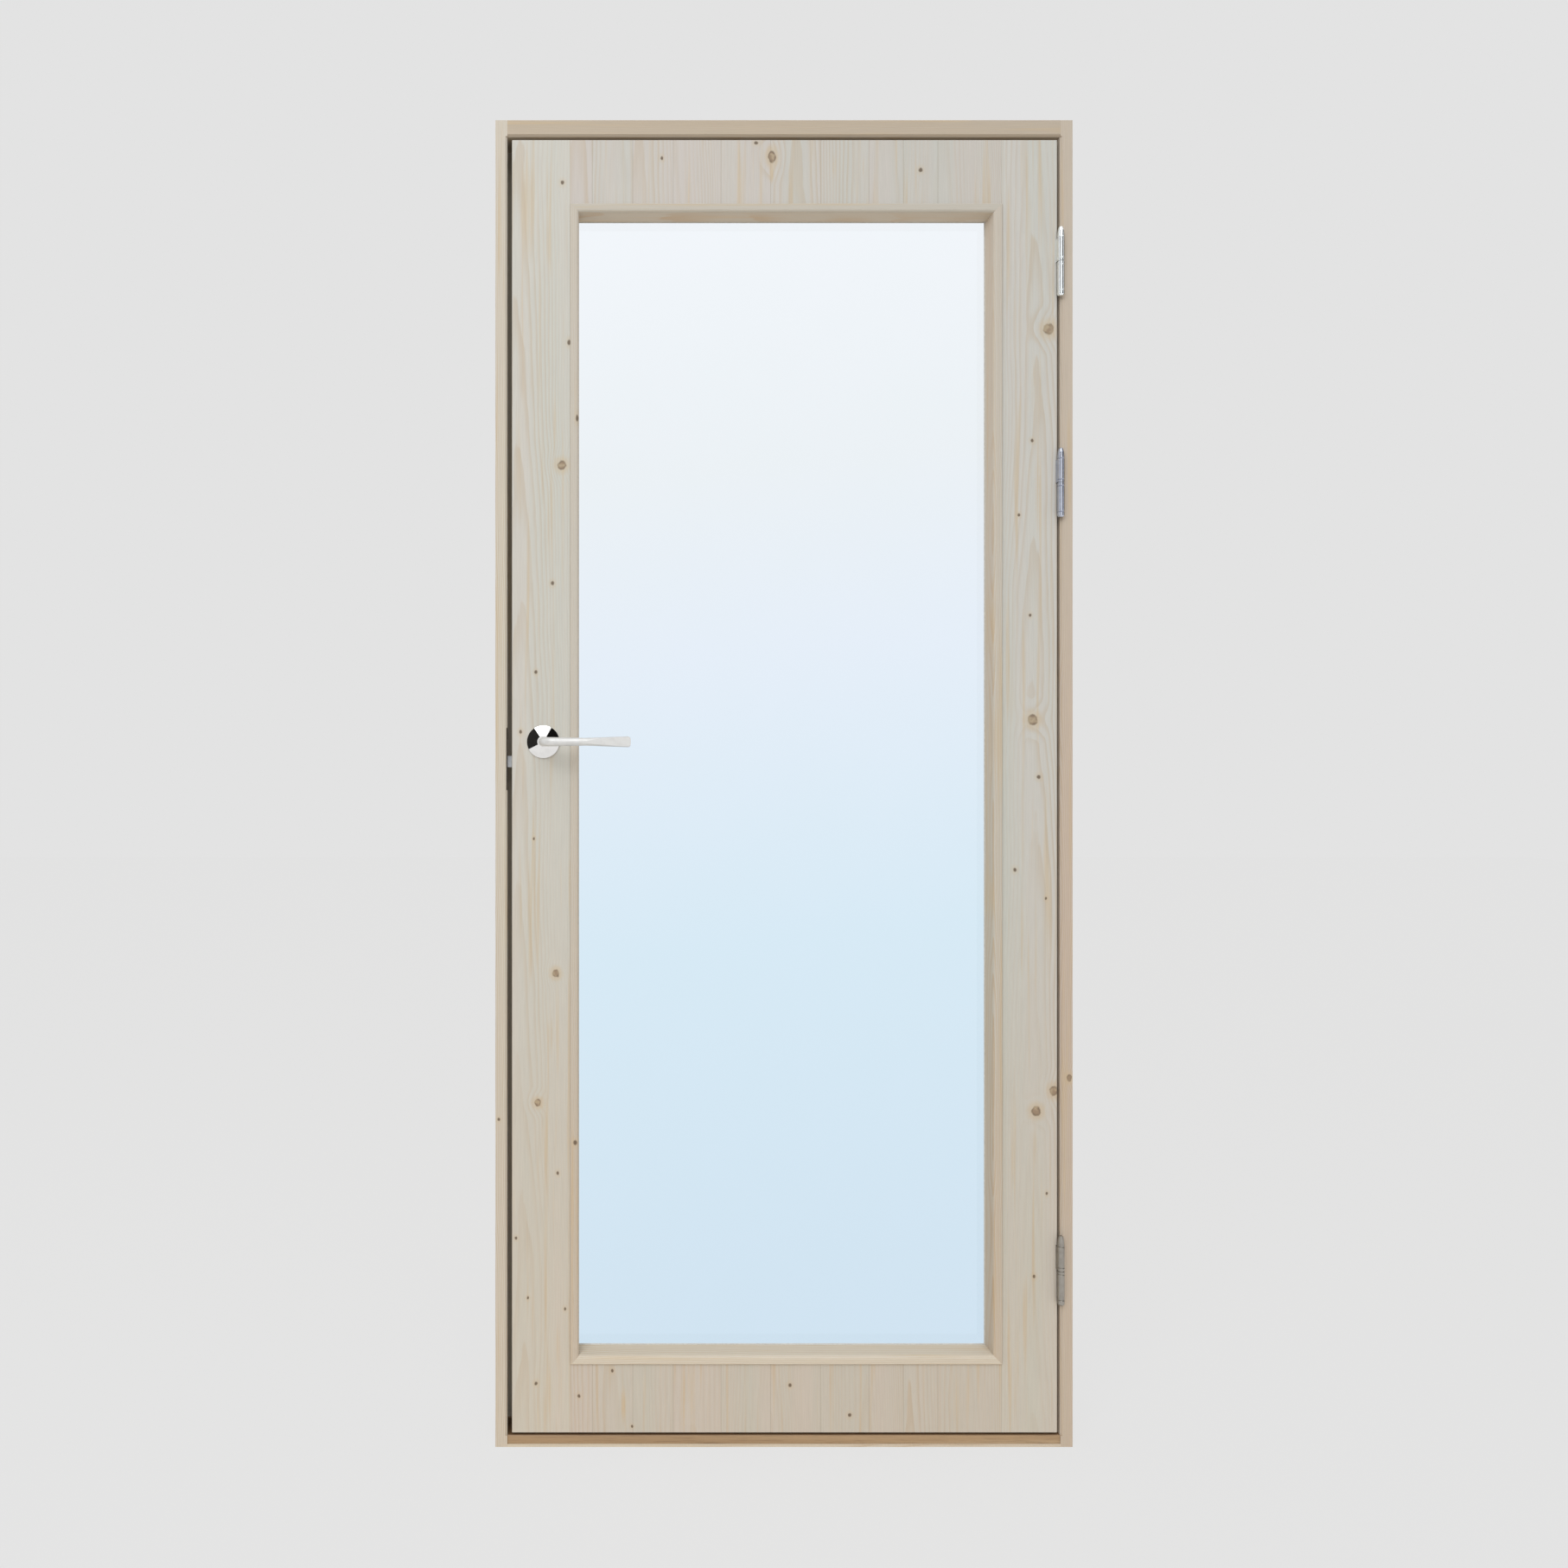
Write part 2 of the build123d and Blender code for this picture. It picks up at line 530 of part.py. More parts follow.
# Latch bolt: square towards the viewer, bevelled on the side that meets the strike as the door shuts
with BuildPart() as latch_bolt:
    with BuildSketch(Plane.XY.offset(LATCH_LOW)):
        with BuildLine():
            Polyline(
                (LEAF_LEFT + LATCH_TAIL, LATCH_FRONT_Y),
                (LEAF_LEFT - LATCH_THROW, LATCH_FRONT_Y),
                (LEAF_LEFT - LATCH_THROW, LATCH_FRONT_Y + LATCH_TIP),
                (LEAF_LEFT, LATCH_BACK_Y),
                (LEAF_LEFT + LATCH_TAIL, LATCH_BACK_Y),
                close=True,
            )
        make_face()
    extrude(amount=LATCH_HEIGHT)
latch_bolt.part.label = "latch_bolt"
export_step(latch_bolt.part, "parts/latch_bolt.step")

# Front rose: a turned disc with a coned face and a flat crown, bored for the lever's neck
with BuildPart() as front_rose:
    with BuildSketch(Plane.XY.offset(SPINDLE_HEIGHT)):
        with BuildLine():
            Polyline(
                (SPINDLE_X, FRONT_Y),
                (SPINDLE_X + ROSE_RADIUS, FRONT_Y),
                (SPINDLE_X + ROSE_RADIUS, FRONT_Y - ROSE_RIM),
                (SPINDLE_X + ROSE_CROWN_RADIUS, FRONT_Y - ROSE_RIM - ROSE_CONE),
                (SPINDLE_X, FRONT_Y - ROSE_RIM - ROSE_CONE),
                close=True,
            )
        make_face()
    revolve(axis=Axis((SPINDLE_X, 0, SPINDLE_HEIGHT), (0, 1, 0)))
    with BuildSketch(Plane.XZ.offset(-FRONT_Y)):
        with Locations((SPINDLE_X, SPINDLE_HEIGHT)):
            Circle(NECK_RADIUS + NECK_CLEARANCE)
    extrude(amount=ROSE_RIM + ROSE_CONE, mode=Mode.SUBTRACT)
front_rose.part.label = "front_rose"
export_step(front_rose.part, "parts/front_rose.step")

# Rear rose: the same disc on the back of the stile
with BuildPart() as rear_rose:
    mirror(front_rose.part, about=Plane.XZ.offset(-LEAF_MID_Y))
rear_rose.part.label = "rear_rose"
export_step(rear_rose.part, "parts/rear_rose.step")

# Front lever: a round neck and elbow, and a turned bar with a waist, flattened front and back to its tip
ELBOW_END_X = SPINDLE_X + LEVER_ELBOW_RADIUS
LEVER_TIP_X = SPINDLE_X + LEVER_LENGTH
with BuildPart() as front_lever:
    with BuildSketch(Plane.XY.offset(SPINDLE_HEIGHT)):
        with BuildLine():
            Polyline(
                (ELBOW_END_X, LEVER_BAR_Y - NECK_RADIUS),
                (SPINDLE_X + LEVER_WAIST_REACH, LEVER_BAR_Y - LEVER_WAIST_RADIUS),
                (LEVER_TIP_X, LEVER_BAR_Y - LEVER_TIP_RADIUS),
                (LEVER_TIP_X, LEVER_BAR_Y),
                (ELBOW_END_X, LEVER_BAR_Y),
                close=True,
            )
        make_face()
    revolve(axis=Axis((0, LEVER_BAR_Y, SPINDLE_HEIGHT), (1, 0, 0)))
    fillet(front_lever.edges().sort_by(Axis.X)[-1], LEVER_TIP_ROUND)
    with BuildSketch(Plane.XY.offset(SPINDLE_HEIGHT)):
        for side in (-1, 1):
            with BuildLine():
                Polyline(
                    (SPINDLE_X + LEVER_FLAT_START, LEVER_BAR_Y + side * NECK_RADIUS),
                    (LEVER_TIP_X, LEVER_BAR_Y + side * LEVER_TIP_THICKNESS / 2),
                    (LEVER_TIP_X, LEVER_BAR_Y + side * 2 * LEVER_TIP_RADIUS),
                    (SPINDLE_X + LEVER_FLAT_START, LEVER_BAR_Y + side * 2 * LEVER_TIP_RADIUS),
                    close=True,
                )
            make_face()
    extrude(amount=LEVER_TIP_RADIUS, both=True, mode=Mode.SUBTRACT)
    with BuildSketch(Plane.XZ.offset(-ELBOW_Y)):
        with Locations((SPINDLE_X, SPINDLE_HEIGHT)):
            Circle(NECK_RADIUS)
    revolve(axis=Axis((ELBOW_END_X, ELBOW_Y, SPINDLE_HEIGHT), (0, 0, 1)), revolution_arc=90)
    with BuildSketch(Plane.XZ.offset(-FRONT_Y + NECK_END_GAP)):
        with Locations((SPINDLE_X, SPINDLE_HEIGHT)):
            Circle(NECK_RADIUS)
            Rectangle(
                SPINDLE_SIZE + 2 * SPINDLE_FIT,
                SPINDLE_SIZE + 2 * SPINDLE_FIT,
                mode=Mode.SUBTRACT,
            )
    extrude(amount=SPINDLE_GRIP)
    with BuildSketch(Plane.XZ.offset(-FRONT_Y + NECK_END_GAP + SPINDLE_GRIP)):
        with Locations((SPINDLE_X, SPINDLE_HEIGHT)):
            Circle(NECK_RADIUS)
    extrude(amount=FRONT_Y - NECK_END_GAP - SPINDLE_GRIP - ELBOW_Y)
front_lever.part.label = "front_lever"
export_step(front_lever.part, "parts/front_lever.step")

# Rear lever: the mirror image, on the other end of the spindle
with BuildPart() as rear_lever:
    mirror(front_lever.part, about=Plane.XZ.offset(-LEAF_MID_Y))
rear_lever.part.label = "rear_lever"
export_step(rear_lever.part, "parts/rear_lever.step")

# Spindle: a square steel bar through the lock, seated in the necks of both levers
with BuildPart() as spindle:
    with BuildSketch(Plane.XZ.offset(-LEAF_MID_Y)):
        with Locations((SPINDLE_X, SPINDLE_HEIGHT)):
            Rectangle(SPINDLE_SIZE, SPINDLE_SIZE)
    extrude(amount=LEAF_THICKNESS / 2 + NECK_END_GAP + SPINDLE_GRIP, both=True)
spindle.part.label = "spindle"
export_step(spindle.part, "parts/spindle.step")
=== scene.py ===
"""A glazed interior door of spruce in its frame: the finish of every piece, screws, light and camera."""

import math

import bmesh
import bpy
from mathutils import Matrix, Vector


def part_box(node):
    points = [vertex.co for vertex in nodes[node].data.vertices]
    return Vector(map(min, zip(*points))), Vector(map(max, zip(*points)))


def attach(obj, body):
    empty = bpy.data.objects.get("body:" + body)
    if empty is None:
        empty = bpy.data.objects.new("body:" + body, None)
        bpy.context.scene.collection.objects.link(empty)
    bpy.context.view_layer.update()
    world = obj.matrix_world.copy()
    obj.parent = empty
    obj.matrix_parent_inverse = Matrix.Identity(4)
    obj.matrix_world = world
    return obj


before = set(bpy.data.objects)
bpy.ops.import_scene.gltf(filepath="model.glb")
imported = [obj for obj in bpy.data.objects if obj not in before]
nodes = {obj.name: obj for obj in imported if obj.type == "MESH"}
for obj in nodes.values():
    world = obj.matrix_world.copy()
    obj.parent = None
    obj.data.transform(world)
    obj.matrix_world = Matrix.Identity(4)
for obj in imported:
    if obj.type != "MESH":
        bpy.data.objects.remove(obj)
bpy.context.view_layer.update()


# The door frame: two jambs, a head, a thin sill board and the stops planted inside them.
# Planed spruce boards, untreated, glued and screwed at the corners; the grain runs along each board.
def put(tree, kind, inputs=None, **settings):
    """One shader node, with each input either linked from a socket or set to a value."""
    made = tree.nodes.new("ShaderNode" + kind)
    for name, value in settings.items():
        setattr(made, name, value)
    for socket, value in (inputs or {}).items():
        if isinstance(value, bpy.types.NodeSocket):
            tree.links.new(value, made.inputs[socket])
        else:
            made.inputs[socket].default_value = value
    return made


def maths(tree, operation, *terms):
    """The result of one Math node."""
    return put(tree, "Math", dict(enumerate(terms)), operation=operation).outputs[0]


def spread(tree, value, low, high, start=0.0, end=1.0, smooth=True):
    """A value eased from start to end while the input goes from low to high."""
    easing = "SMOOTHSTEP" if smooth else "LINEAR"
    inputs = {"Value": value, "From Min": low, "From Max": high, "To Min": start, "To Max": end}
    return put(tree, "MapRange", inputs, interpolation_type=easing).outputs["Result"]


def srgb(red, green, blue):
    """A colour as a photograph gives it, 0 to 255, turned into the linear values that shaders take."""
    parts = [channel / 255 for channel in (red, green, blue)]
    linear = [c / 12.92 if c <= 0.04045 else ((c + 0.055) / 1.055) ** 2.4 for c in parts]
    return (*linear, 1.0)


def ramp(tree, value, stops):
    """The colour that a ramp through (place, colour) stops gives for a value."""
    made = put(tree, "ValToRGB", {"Fac": value})
    elements = made.color_ramp.elements
    while len(elements) < len(stops):
        elements.new(1.0)
    for element, (place, colour) in zip(elements, stops):
        element.position = place
        element.color = colour
    return made.outputs["Color"]


def over(tree, share, below, above, blend_type="MIX"):
    """One colour laid over another; the Mix node's colour sockets go by number, as their names repeat."""
    made = put(tree, "Mix", {"Factor": share, 6: below, 7: above}, data_type="RGBA", blend_type=blend_type)
    return made.outputs[2]


def axes_of(tree, vector):
    """The X, Y and Z parts of a vector."""
    return put(tree, "SeparateXYZ", {"Vector": vector}).outputs


def length_of(tree, vector):
    """How long a vector is."""
    return put(tree, "VectorMath", {0: vector}, operation="LENGTH").outputs["Value"]


def noise(tree, place, fineness, detail):
    """Even noise, with so many lumps to the metre."""
    return put(tree, "TexNoise", {"Vector": place, "Scale": fineness, "Detail": detail}).outputs["Fac"]


def drawn_noise(tree, place, fineness, detail, shift=(0, 0, 0)):
    """Noise drawn out along an axis: its lumps to the metre differ along X, Y and Z."""
    inputs = {"Vector": place, "Location": shift, "Scale": fineness}
    return noise(tree, put(tree, "Mapping", inputs).outputs["Vector"], 1.0, detail)


def bare_material(name):
    """A new material with its shader and nothing else."""
    material = bpy.data.materials.new(name)
    material.use_nodes = True
    return material, material.node_tree, material.node_tree.nodes["Principled BSDF"]


def place_on(tree):
    """Where a point of the surface is, in metres from the door's origin."""
    return put(tree, "TexCoord").outputs["Object"]


def dress(tree, shader, colour, roughness, height, strength, distance):
    """Gives a shader its colour, its roughness and a bump of that height, at that strength and distance."""
    bump = put(tree, "Bump", {"Strength": strength, "Distance": distance, "Height": height})
    tree.links.new(colour, shader.inputs["Base Color"])
    tree.links.new(roughness, shader.inputs["Roughness"])
    tree.links.new(bump.outputs["Normal"], shader.inputs["Normal"])


def nearest(tree, place, marks):
    """How far a place on the board's face is from the nearest mark, in that mark's own radii.

    A mark is (x, z, radius, length over width), in metres.
    """
    distance = None
    for x, z, radius, stretch in marks:
        scale = (1 / radius, 0, 1 / (radius * stretch))
        inputs = {"Vector": place, "Location": (-x * scale[0], 0, -z * scale[2]), "Scale": scale}
        length = length_of(tree, put(tree, "Mapping", inputs).outputs["Vector"])
        distance = length if distance is None else maths(tree, "MINIMUM", distance, length)
    return distance


GLUE_LINE = 0.0005
GLUE_TONE = srgb(158, 146, 128)


def glued_strips(tree, across, staves, seed):
    """The strips that a board is glued from, given by their edges across the grain.

    Returns three random numbers for the strip at hand, its middle, and 1 on the glue lines.
    """
    number = 0.0
    middle = (staves[0] + staves[1]) / 2
    glue = 0.0
    for before, seam, after in zip(staves, staves[1:], staves[2:]):
        past = maths(tree, "GREATER_THAN", across, seam)
        number = maths(tree, "ADD", number, past)
        middle = maths(tree, "MULTIPLY_ADD", past, (after - before) / 2, middle)
        glue = maths(tree, "MAXIMUM", glue, maths(tree, "COMPARE", across, seam, GLUE_LINE))
    luck = put(tree, "TexWhiteNoise", {"W": maths(tree, "ADD", number, seed)}, noise_dimensions="1D")
    chances = put(tree, "SeparateColor", {"Color": luck.outputs["Color"]}).outputs
    return chances, middle, glue


RING_WIDTH = 0.0027
RING_SWAY = 0.05
RING_RIPPLE = 0.0024
PITH_WANDER = 0.09
PITH_DEPTH = 0.075
PITH_DEPTH_VARIES = 0.05
TRUNK_TAPER = 0.012


def growth_rings(tree, grain, across, through, length, chances, middle, bend):
    """The share of dark latewood: rings round a pith that lies behind the face, as the saw cuts them.

    grain makes noise along the board, and bend pushes the rings aside.
    """
    pith = maths(tree, "MULTIPLY_ADD", chances[0], PITH_WANDER, -PITH_WANDER / 2)
    pith = maths(tree, "ADD", pith, middle)
    sway = maths(tree, "MULTIPLY_ADD", grain(3, 1.6), RING_SWAY, -RING_SWAY / 2)
    side = maths(tree, "ADD", maths(tree, "SUBTRACT", across, pith), sway)
    depth = maths(tree, "MULTIPLY_ADD", length, TRUNK_TAPER, PITH_DEPTH)
    depth = maths(tree, "MULTIPLY_ADD", chances[1], PITH_DEPTH_VARIES, depth)
    depth = maths(tree, "ADD", depth, through)
    radius = length_of(tree, put(tree, "CombineXYZ", {"X": side, "Y": depth}).outputs["Vector"])
    ripple = maths(tree, "MULTIPLY_ADD", grain(60, 9), RING_RIPPLE, -RING_RIPPLE / 2)
    radius = maths(tree, "ADD", maths(tree, "ADD", radius, ripple), bend)
    turn = maths(tree, "FRACT", maths(tree, "DIVIDE", radius, RING_WIDTH))
    return maths(tree, "MULTIPLY", spread(tree, turn, 0.35, 0.9), spread(tree, turn, 1.0, 0.93))


RESIN = srgb(203, 182, 148)
KNOT_HEART = srgb(176, 159, 133)
KNOT_CORE = srgb(150, 128, 107)
KNOT_RIM = srgb(112, 95, 78)
KNOT_BEND = 0.004
PIN_KNOT = srgb(96, 80, 64)
FLAME_WAVER = 0.003
KNOT_WAVER = 0.004
PIN_KNOT_WAVER = 0.0018


def marked(tree, place, grain, colour, height, knots, pin_knots, flames):
    """A board's colour and relief with its resin flames, knots and pin knots laid over them."""
    wobble = put(tree, "TexNoise", {"Vector": place, "Scale": 170.0, "Detail": 2.0}).outputs["Color"]
    halves = (0.5, 0.5, 0.5)
    centred = put(tree, "VectorMath", {0: wobble, 1: halves}, operation="SUBTRACT").outputs["Vector"]

    def wavering(amount):
        """The place on the board, pushed about a little so that marks lose their even outlines."""
        inputs = {0: centred, 1: (amount, amount, amount), 2: place}
        return put(tree, "VectorMath", inputs, operation="MULTIPLY_ADD").outputs["Vector"]

    if flames:
        flame = spread(tree, nearest(tree, wavering(FLAME_WAVER), flames), 1.0, 0.1)
        threads = spread(tree, grain(420, 4, shift=3.0), 0.4, 0.65, 0.1, 0.65)
        colour = over(tree, maths(tree, "MULTIPLY", flame, threads), colour, RESIN)
    if knots:
        knot = nearest(tree, wavering(KNOT_WAVER), knots)
        patchy = noise(tree, place, 110.0, 1.0)
        patchy_rim = spread(tree, patchy, 0.35, 0.6, 0.2, 1.0)
        rim = maths(tree, "MULTIPLY", spread(tree, knot, 0.45, 0.9), patchy_rim)
        inside = over(tree, spread(tree, patchy, 0.4, 0.6), KNOT_HEART, KNOT_CORE)
        inside = over(tree, rim, inside, KNOT_RIM)
        colour = over(tree, spread(tree, knot, 2.6, 1.0, 0.0, 0.45), colour, RESIN)
        colour = over(tree, spread(tree, knot, 1.15, 0.8, 0.0, 0.85), colour, inside)
        height = maths(tree, "ADD", height, spread(tree, knot, 1.1, 0.8, 0.0, 0.7))
    if pin_knots:
        pin = nearest(tree, wavering(PIN_KNOT_WAVER), pin_knots)
        colour = over(tree, spread(tree, pin, 3.0, 1.0, 0.0, 0.25), colour, RESIN)
        colour = over(tree, spread(tree, pin, 1.2, 0.5, 0.0, 0.85), colour, PIN_KNOT)
    return colour, height


TONE_PLACES = (0.3, 0.55, 0.8)
# Painted shade and warm bounce light: upright boards darken and warm from this height down to their foot.
FOOT_SHADE_FROM = 1.1
FOOT_SHADE_FULL = 0.2
WHOLE_BOARD = (-0.5, 0.5)


def spruce(
    name, along, tones, latewood, seed, staves=WHOLE_BOARD, knots=(), pin_knots=(), flames=(), foot=None
):
    """Planed spruce: rings cut by the saw, drifting tones, fibres, and the marks given by place.

    along is the axis that the grain follows; tones are three colours, and staves are the edges across
    the grain of the strips that the board is glued from. foot is a painted warm shade that darkens an
    upright board low down.
    """
    material, tree, shader = bare_material(name)
    place = place_on(tree)
    axes = axes_of(tree, place)
    across = axes["Z" if along == "X" else "X"]
    through = axes["Y"]
    length = axes[along]
    board = put(tree, "CombineXYZ", {"X": across, "Y": through, "Z": length}).outputs["Vector"]

    def grain(fineness, stretch, detail=2.0, shift=0.0):
        """Noise along this board's grain: so many lumps to the metre across it, and along it."""
        return drawn_noise(tree, board, (fineness, fineness, stretch), detail, (seed + shift, 0, seed))

    chances, middle, glue = glued_strips(tree, across, staves, seed)
    bend = spread(tree, nearest(tree, place, knots), 0.4, 5.0, KNOT_BEND, 0.0) if knots else 0.0
    late = growth_rings(tree, grain, across, through, length, chances, middle, bend)
    fibre = grain(1100, 26, detail=3.0)

    drift = maths(tree, "MULTIPLY", grain(26, 0.8), 0.75)
    tone = maths(tree, "MULTIPLY_ADD", chances[2], 0.4, drift)
    colour = ramp(tree, tone, list(zip(TONE_PLACES, tones)))
    resinous = spread(tree, grain(110, 3.0, shift=5.0), 0.54, 0.72, 0.0, 0.5)
    colour = over(tree, resinous, colour, RESIN)
    strong = spread(tree, grain(14, 0.7, shift=9.0), 0.35, 0.7, 0.08, 0.55)
    colour = over(tree, maths(tree, "MULTIPLY", late, strong), colour, latewood)
    shade = spread(tree, fibre, 0.25, 0.75, 0.95, 1.04, smooth=False)
    grey = put(tree, "CombineColor", {0: shade, 1: shade, 2: shade}).outputs[0]
    colour = over(tree, 1.0, colour, grey, "MULTIPLY")
    colour = over(tree, maths(tree, "MULTIPLY", glue, 0.4), colour, GLUE_TONE)

    height = maths(tree, "MULTIPLY_ADD", late, 0.35, fibre)
    colour, height = marked(tree, place, grain, colour, height, knots, pin_knots, flames)

    facing = axes_of(tree, put(tree, "NewGeometry").outputs["Normal"])[along]
    end_grain = spread(tree, maths(tree, "ABSOLUTE", facing), 0.8, 0.95, 0.0, 0.45)
    colour = over(tree, end_grain, colour, latewood)
    # Painted shade: the foot tint darkens and warms an upright board low down, standing in for light
    # falling off and warm bounce from the floor.
    if foot:
        colour = over(tree, spread(tree, length, FOOT_SHADE_FROM, FOOT_SHADE_FULL), colour, foot, "MULTIPLY")

    roughness = spread(tree, fibre, 0.2, 0.8, 0.5, 0.68)
    dress(tree, shader, colour, roughness, height, strength=0.22, distance=0.0004)
    shader.inputs["Specular IOR Level"].default_value = 0.28
    return material


def finish(material, *names):
    """Gives the named solids their finish."""
    for name in names:
        nodes[name].data.materials[0] = material


FRAME_LATEWOOD = srgb(186, 160, 126)
# Painted shade at the foot of the jambs.
FRAME_FOOT_SHADE = (0.965, 0.95, 0.95, 1.0)
LOCK_JAMB_TONES = (srgb(208, 203, 185), srgb(211, 207, 193), srgb(208, 201, 189))
LOCK_JAMB_PIN_KNOTS = ((-0.430, 0.494, 0.0022, 1.3),)
# The hinge jamb's tones are darker than the lock jamb's: painted shade for light that falls off towards the
# hinge side.
HINGE_JAMB_SHADED_TONES = (srgb(201, 187, 172), srgb(199, 188, 174), srgb(202, 186, 173))
HINGE_JAMB_KNOTS = ((0.430, 0.556, 0.004, 1.5),)
HEAD_TONES = (srgb(188, 174, 155), srgb(192, 180, 164), srgb(190, 177, 164))
SILL_TONES = (srgb(206, 195, 174), srgb(210, 200, 182), srgb(208, 196, 180))

lock_jamb_spruce = spruce(
    "lock_jamb_spruce",
    "Z",
    LOCK_JAMB_TONES,
    FRAME_LATEWOOD,
    seed=3.0,
    pin_knots=LOCK_JAMB_PIN_KNOTS,
    foot=FRAME_FOOT_SHADE,
)
hinge_jamb_spruce = spruce(
    "hinge_jamb_spruce",
    "Z",
    HINGE_JAMB_SHADED_TONES,
    FRAME_LATEWOOD,
    seed=5.0,
    knots=HINGE_JAMB_KNOTS,
    foot=FRAME_FOOT_SHADE,
)
head_spruce = spruce("head_spruce", "X", HEAD_TONES, FRAME_LATEWOOD, seed=7.0)
sill_spruce = spruce("sill_spruce", "X", SILL_TONES, FRAME_LATEWOOD, seed=8.0)
finish(lock_jamb_spruce, "lock_jamb", "lock_stop")
finish(hinge_jamb_spruce, "hinge_jamb", "hinge_stop")
finish(head_spruce, "head", "head_stop")
finish(sill_spruce, "sill_board")


# The threshold: a low hardwood bar across the foot of the frame, raised behind the leaf as its stop.
# Planed oak, oiled to a plain brown, screwed down through the sill board.
OAK_TONES = ((0.25, srgb(150, 122, 92)), (0.55, srgb(170, 142, 110)), (0.8, srgb(186, 162, 132)))
OAK_PORE = srgb(112, 86, 60)
# Painted shade: the colour that darkens the oak's top under the leaf, where the leaf's shadow falls.
OAK_UNDER_LEAF_SHADE = (0.45, 0.40, 0.36, 1.0)
OAK_FIGURE_FINENESS = (1.4, 60, 130)
OAK_PORE_FINENESS = (22, 900, 1500)
UNDER_LEAF_SHADE_EDGE = 0.003


def oak(name):
    """Oiled oak with drawn-out pores, its grain running across the doorway, and painted shade on its top
    under the leaf.
    """
    material, tree, shader = bare_material(name)
    place = place_on(tree)
    figure = drawn_noise(tree, place, OAK_FIGURE_FINENESS, 3.0)
    pitted = spread(tree, drawn_noise(tree, place, OAK_PORE_FINENESS, 2.0), 0.58, 0.7)
    colour = ramp(tree, figure, OAK_TONES)
    colour = over(tree, maths(tree, "MULTIPLY", pitted, 0.5), colour, OAK_PORE)
    # Painted shade: the oak's upward faces are darkened under the leaf, where its shadow falls in the gap.
    leaf_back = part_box("bottom_rail")[1].y
    under_leaf = spread(tree, axes_of(tree, place)["Y"], leaf_back + UNDER_LEAF_SHADE_EDGE, leaf_back)
    upward = axes_of(tree, put(tree, "NewGeometry").outputs["Normal"])["Z"]
    under_leaf_shade = maths(tree, "MULTIPLY", under_leaf, spread(tree, upward, 0.5, 0.9))
    colour = over(tree, under_leaf_shade, colour, OAK_UNDER_LEAF_SHADE, "MULTIPLY")
    roughness = spread(tree, figure, 0.2, 0.8, 0.4, 0.55)
    height = maths(tree, "SUBTRACT", 1.0, pitted)
    dress(tree, shader, colour, roughness, height, strength=0.3, distance=0.0004)
    return material


finish(oak("oiled_oak"), "threshold")


# The strike plate: bent steel let into the lock jamb, with a lip on the chamfer and a hole for the latch.
# Dull dark plating, held by two countersunk screws with crossed slots.
def plated_metal(name, colour, worn, roughness, scratch_fineness, sheen=1.0):
    """Plated or polished metal: cloudy plating, fine scratches, and wear where it is rubbed.

    sheen is how metallic it looks: less than 1 for a blasted or lacquered face.
    """
    material, tree, shader = bare_material(name)
    place = place_on(tree)
    cloud = noise(tree, place, 90.0, 4.0)
    scratches = drawn_noise(tree, place, scratch_fineness, 2.0)
    mottled = over(tree, spread(tree, cloud, 0.4, 0.75), colour, worn)
    rubbed = maths(tree, "MULTIPLY_ADD", scratches, 0.6, maths(tree, "MULTIPLY", cloud, 0.4))
    smoothest, roughest = roughness
    dulled = spread(tree, rubbed, 0.3, 0.7, smoothest, roughest)
    dress(tree, shader, mottled, dulled, scratches, strength=0.04, distance=0.0002)
    shader.inputs["Metallic"].default_value = sheen
    return material


def show(name, data, material):
    """An object that shows a mesh in one material."""
    data.materials.append(material)
    made = bpy.data.objects.new(name, data)
    bpy.context.scene.collection.objects.link(made)
    return made


SCREW_RADIUS = 0.0034
SCREW_PROUD = 0.0003
SCREW_SUNK = 0.0002
SCREW_DISH = 0.0005
SCREW_STEPS = 32
SLOT_WIDTH = 0.0009
SLOT_LENGTH = 0.0042
SLOT_DEPTH = 0.0009


def ring_of(mesh, radius, height):
    """Corners of a mesh round the screw's axis."""
    angles = [2 * math.pi * step / SCREW_STEPS for step in range(SCREW_STEPS)]
    return [mesh.verts.new((radius * math.cos(a), radius * math.sin(a), height)) for a in angles]


def wall_between(mesh, lower, upper):
    """Faces between two rings of corners."""
    for first in range(len(lower)):
        second = (first + 1) % len(lower)
        mesh.faces.new((lower[first], lower[second], upper[second], upper[first]))


def screw_head(name, centre, outward, material, body):
    """A countersunk screw head, flush but for its thin crown, with a crossed slot sunk in it."""
    half = SLOT_WIDTH / 2
    reach = SLOT_LENGTH / 2
    outline = []
    for quarter in range(4):
        turn = Matrix.Rotation(quarter * math.pi / 2, 2)
        outline += [turn @ Vector(point) for point in ((reach, half), (half, half), (half, reach))]
    mesh = bmesh.new()
    slot_floor = [mesh.verts.new((*corner, SCREW_PROUD - SLOT_DEPTH)) for corner in outline]
    slot_lip = [mesh.verts.new((*corner, SCREW_PROUD)) for corner in outline]
    crown = ring_of(mesh, SCREW_RADIUS - SCREW_DISH, SCREW_PROUD)
    foot = ring_of(mesh, SCREW_RADIUS, -SCREW_SUNK)
    mesh.faces.new(slot_floor)
    wall_between(mesh, slot_floor, slot_lip)
    wall_between(mesh, crown, foot)
    rims = [mesh.edges.get(pair) for ring in (slot_lip, crown) for pair in zip(ring, ring[1:] + ring[:1])]
    bmesh.ops.triangle_fill(mesh, use_beauty=True, edges=rims)
    mesh.faces.new(list(reversed(foot)))
    bmesh.ops.recalc_face_normals(mesh, faces=mesh.faces)
    tilt = Vector((0, 0, 1)).rotation_difference(Vector(outward)).to_matrix().to_4x4()
    mesh.transform(Matrix.Translation(centre) @ tilt)
    data = bpy.data.meshes.new(name)
    mesh.to_mesh(data)
    mesh.free()
    head = show(name, data, material)
    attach(head, body)


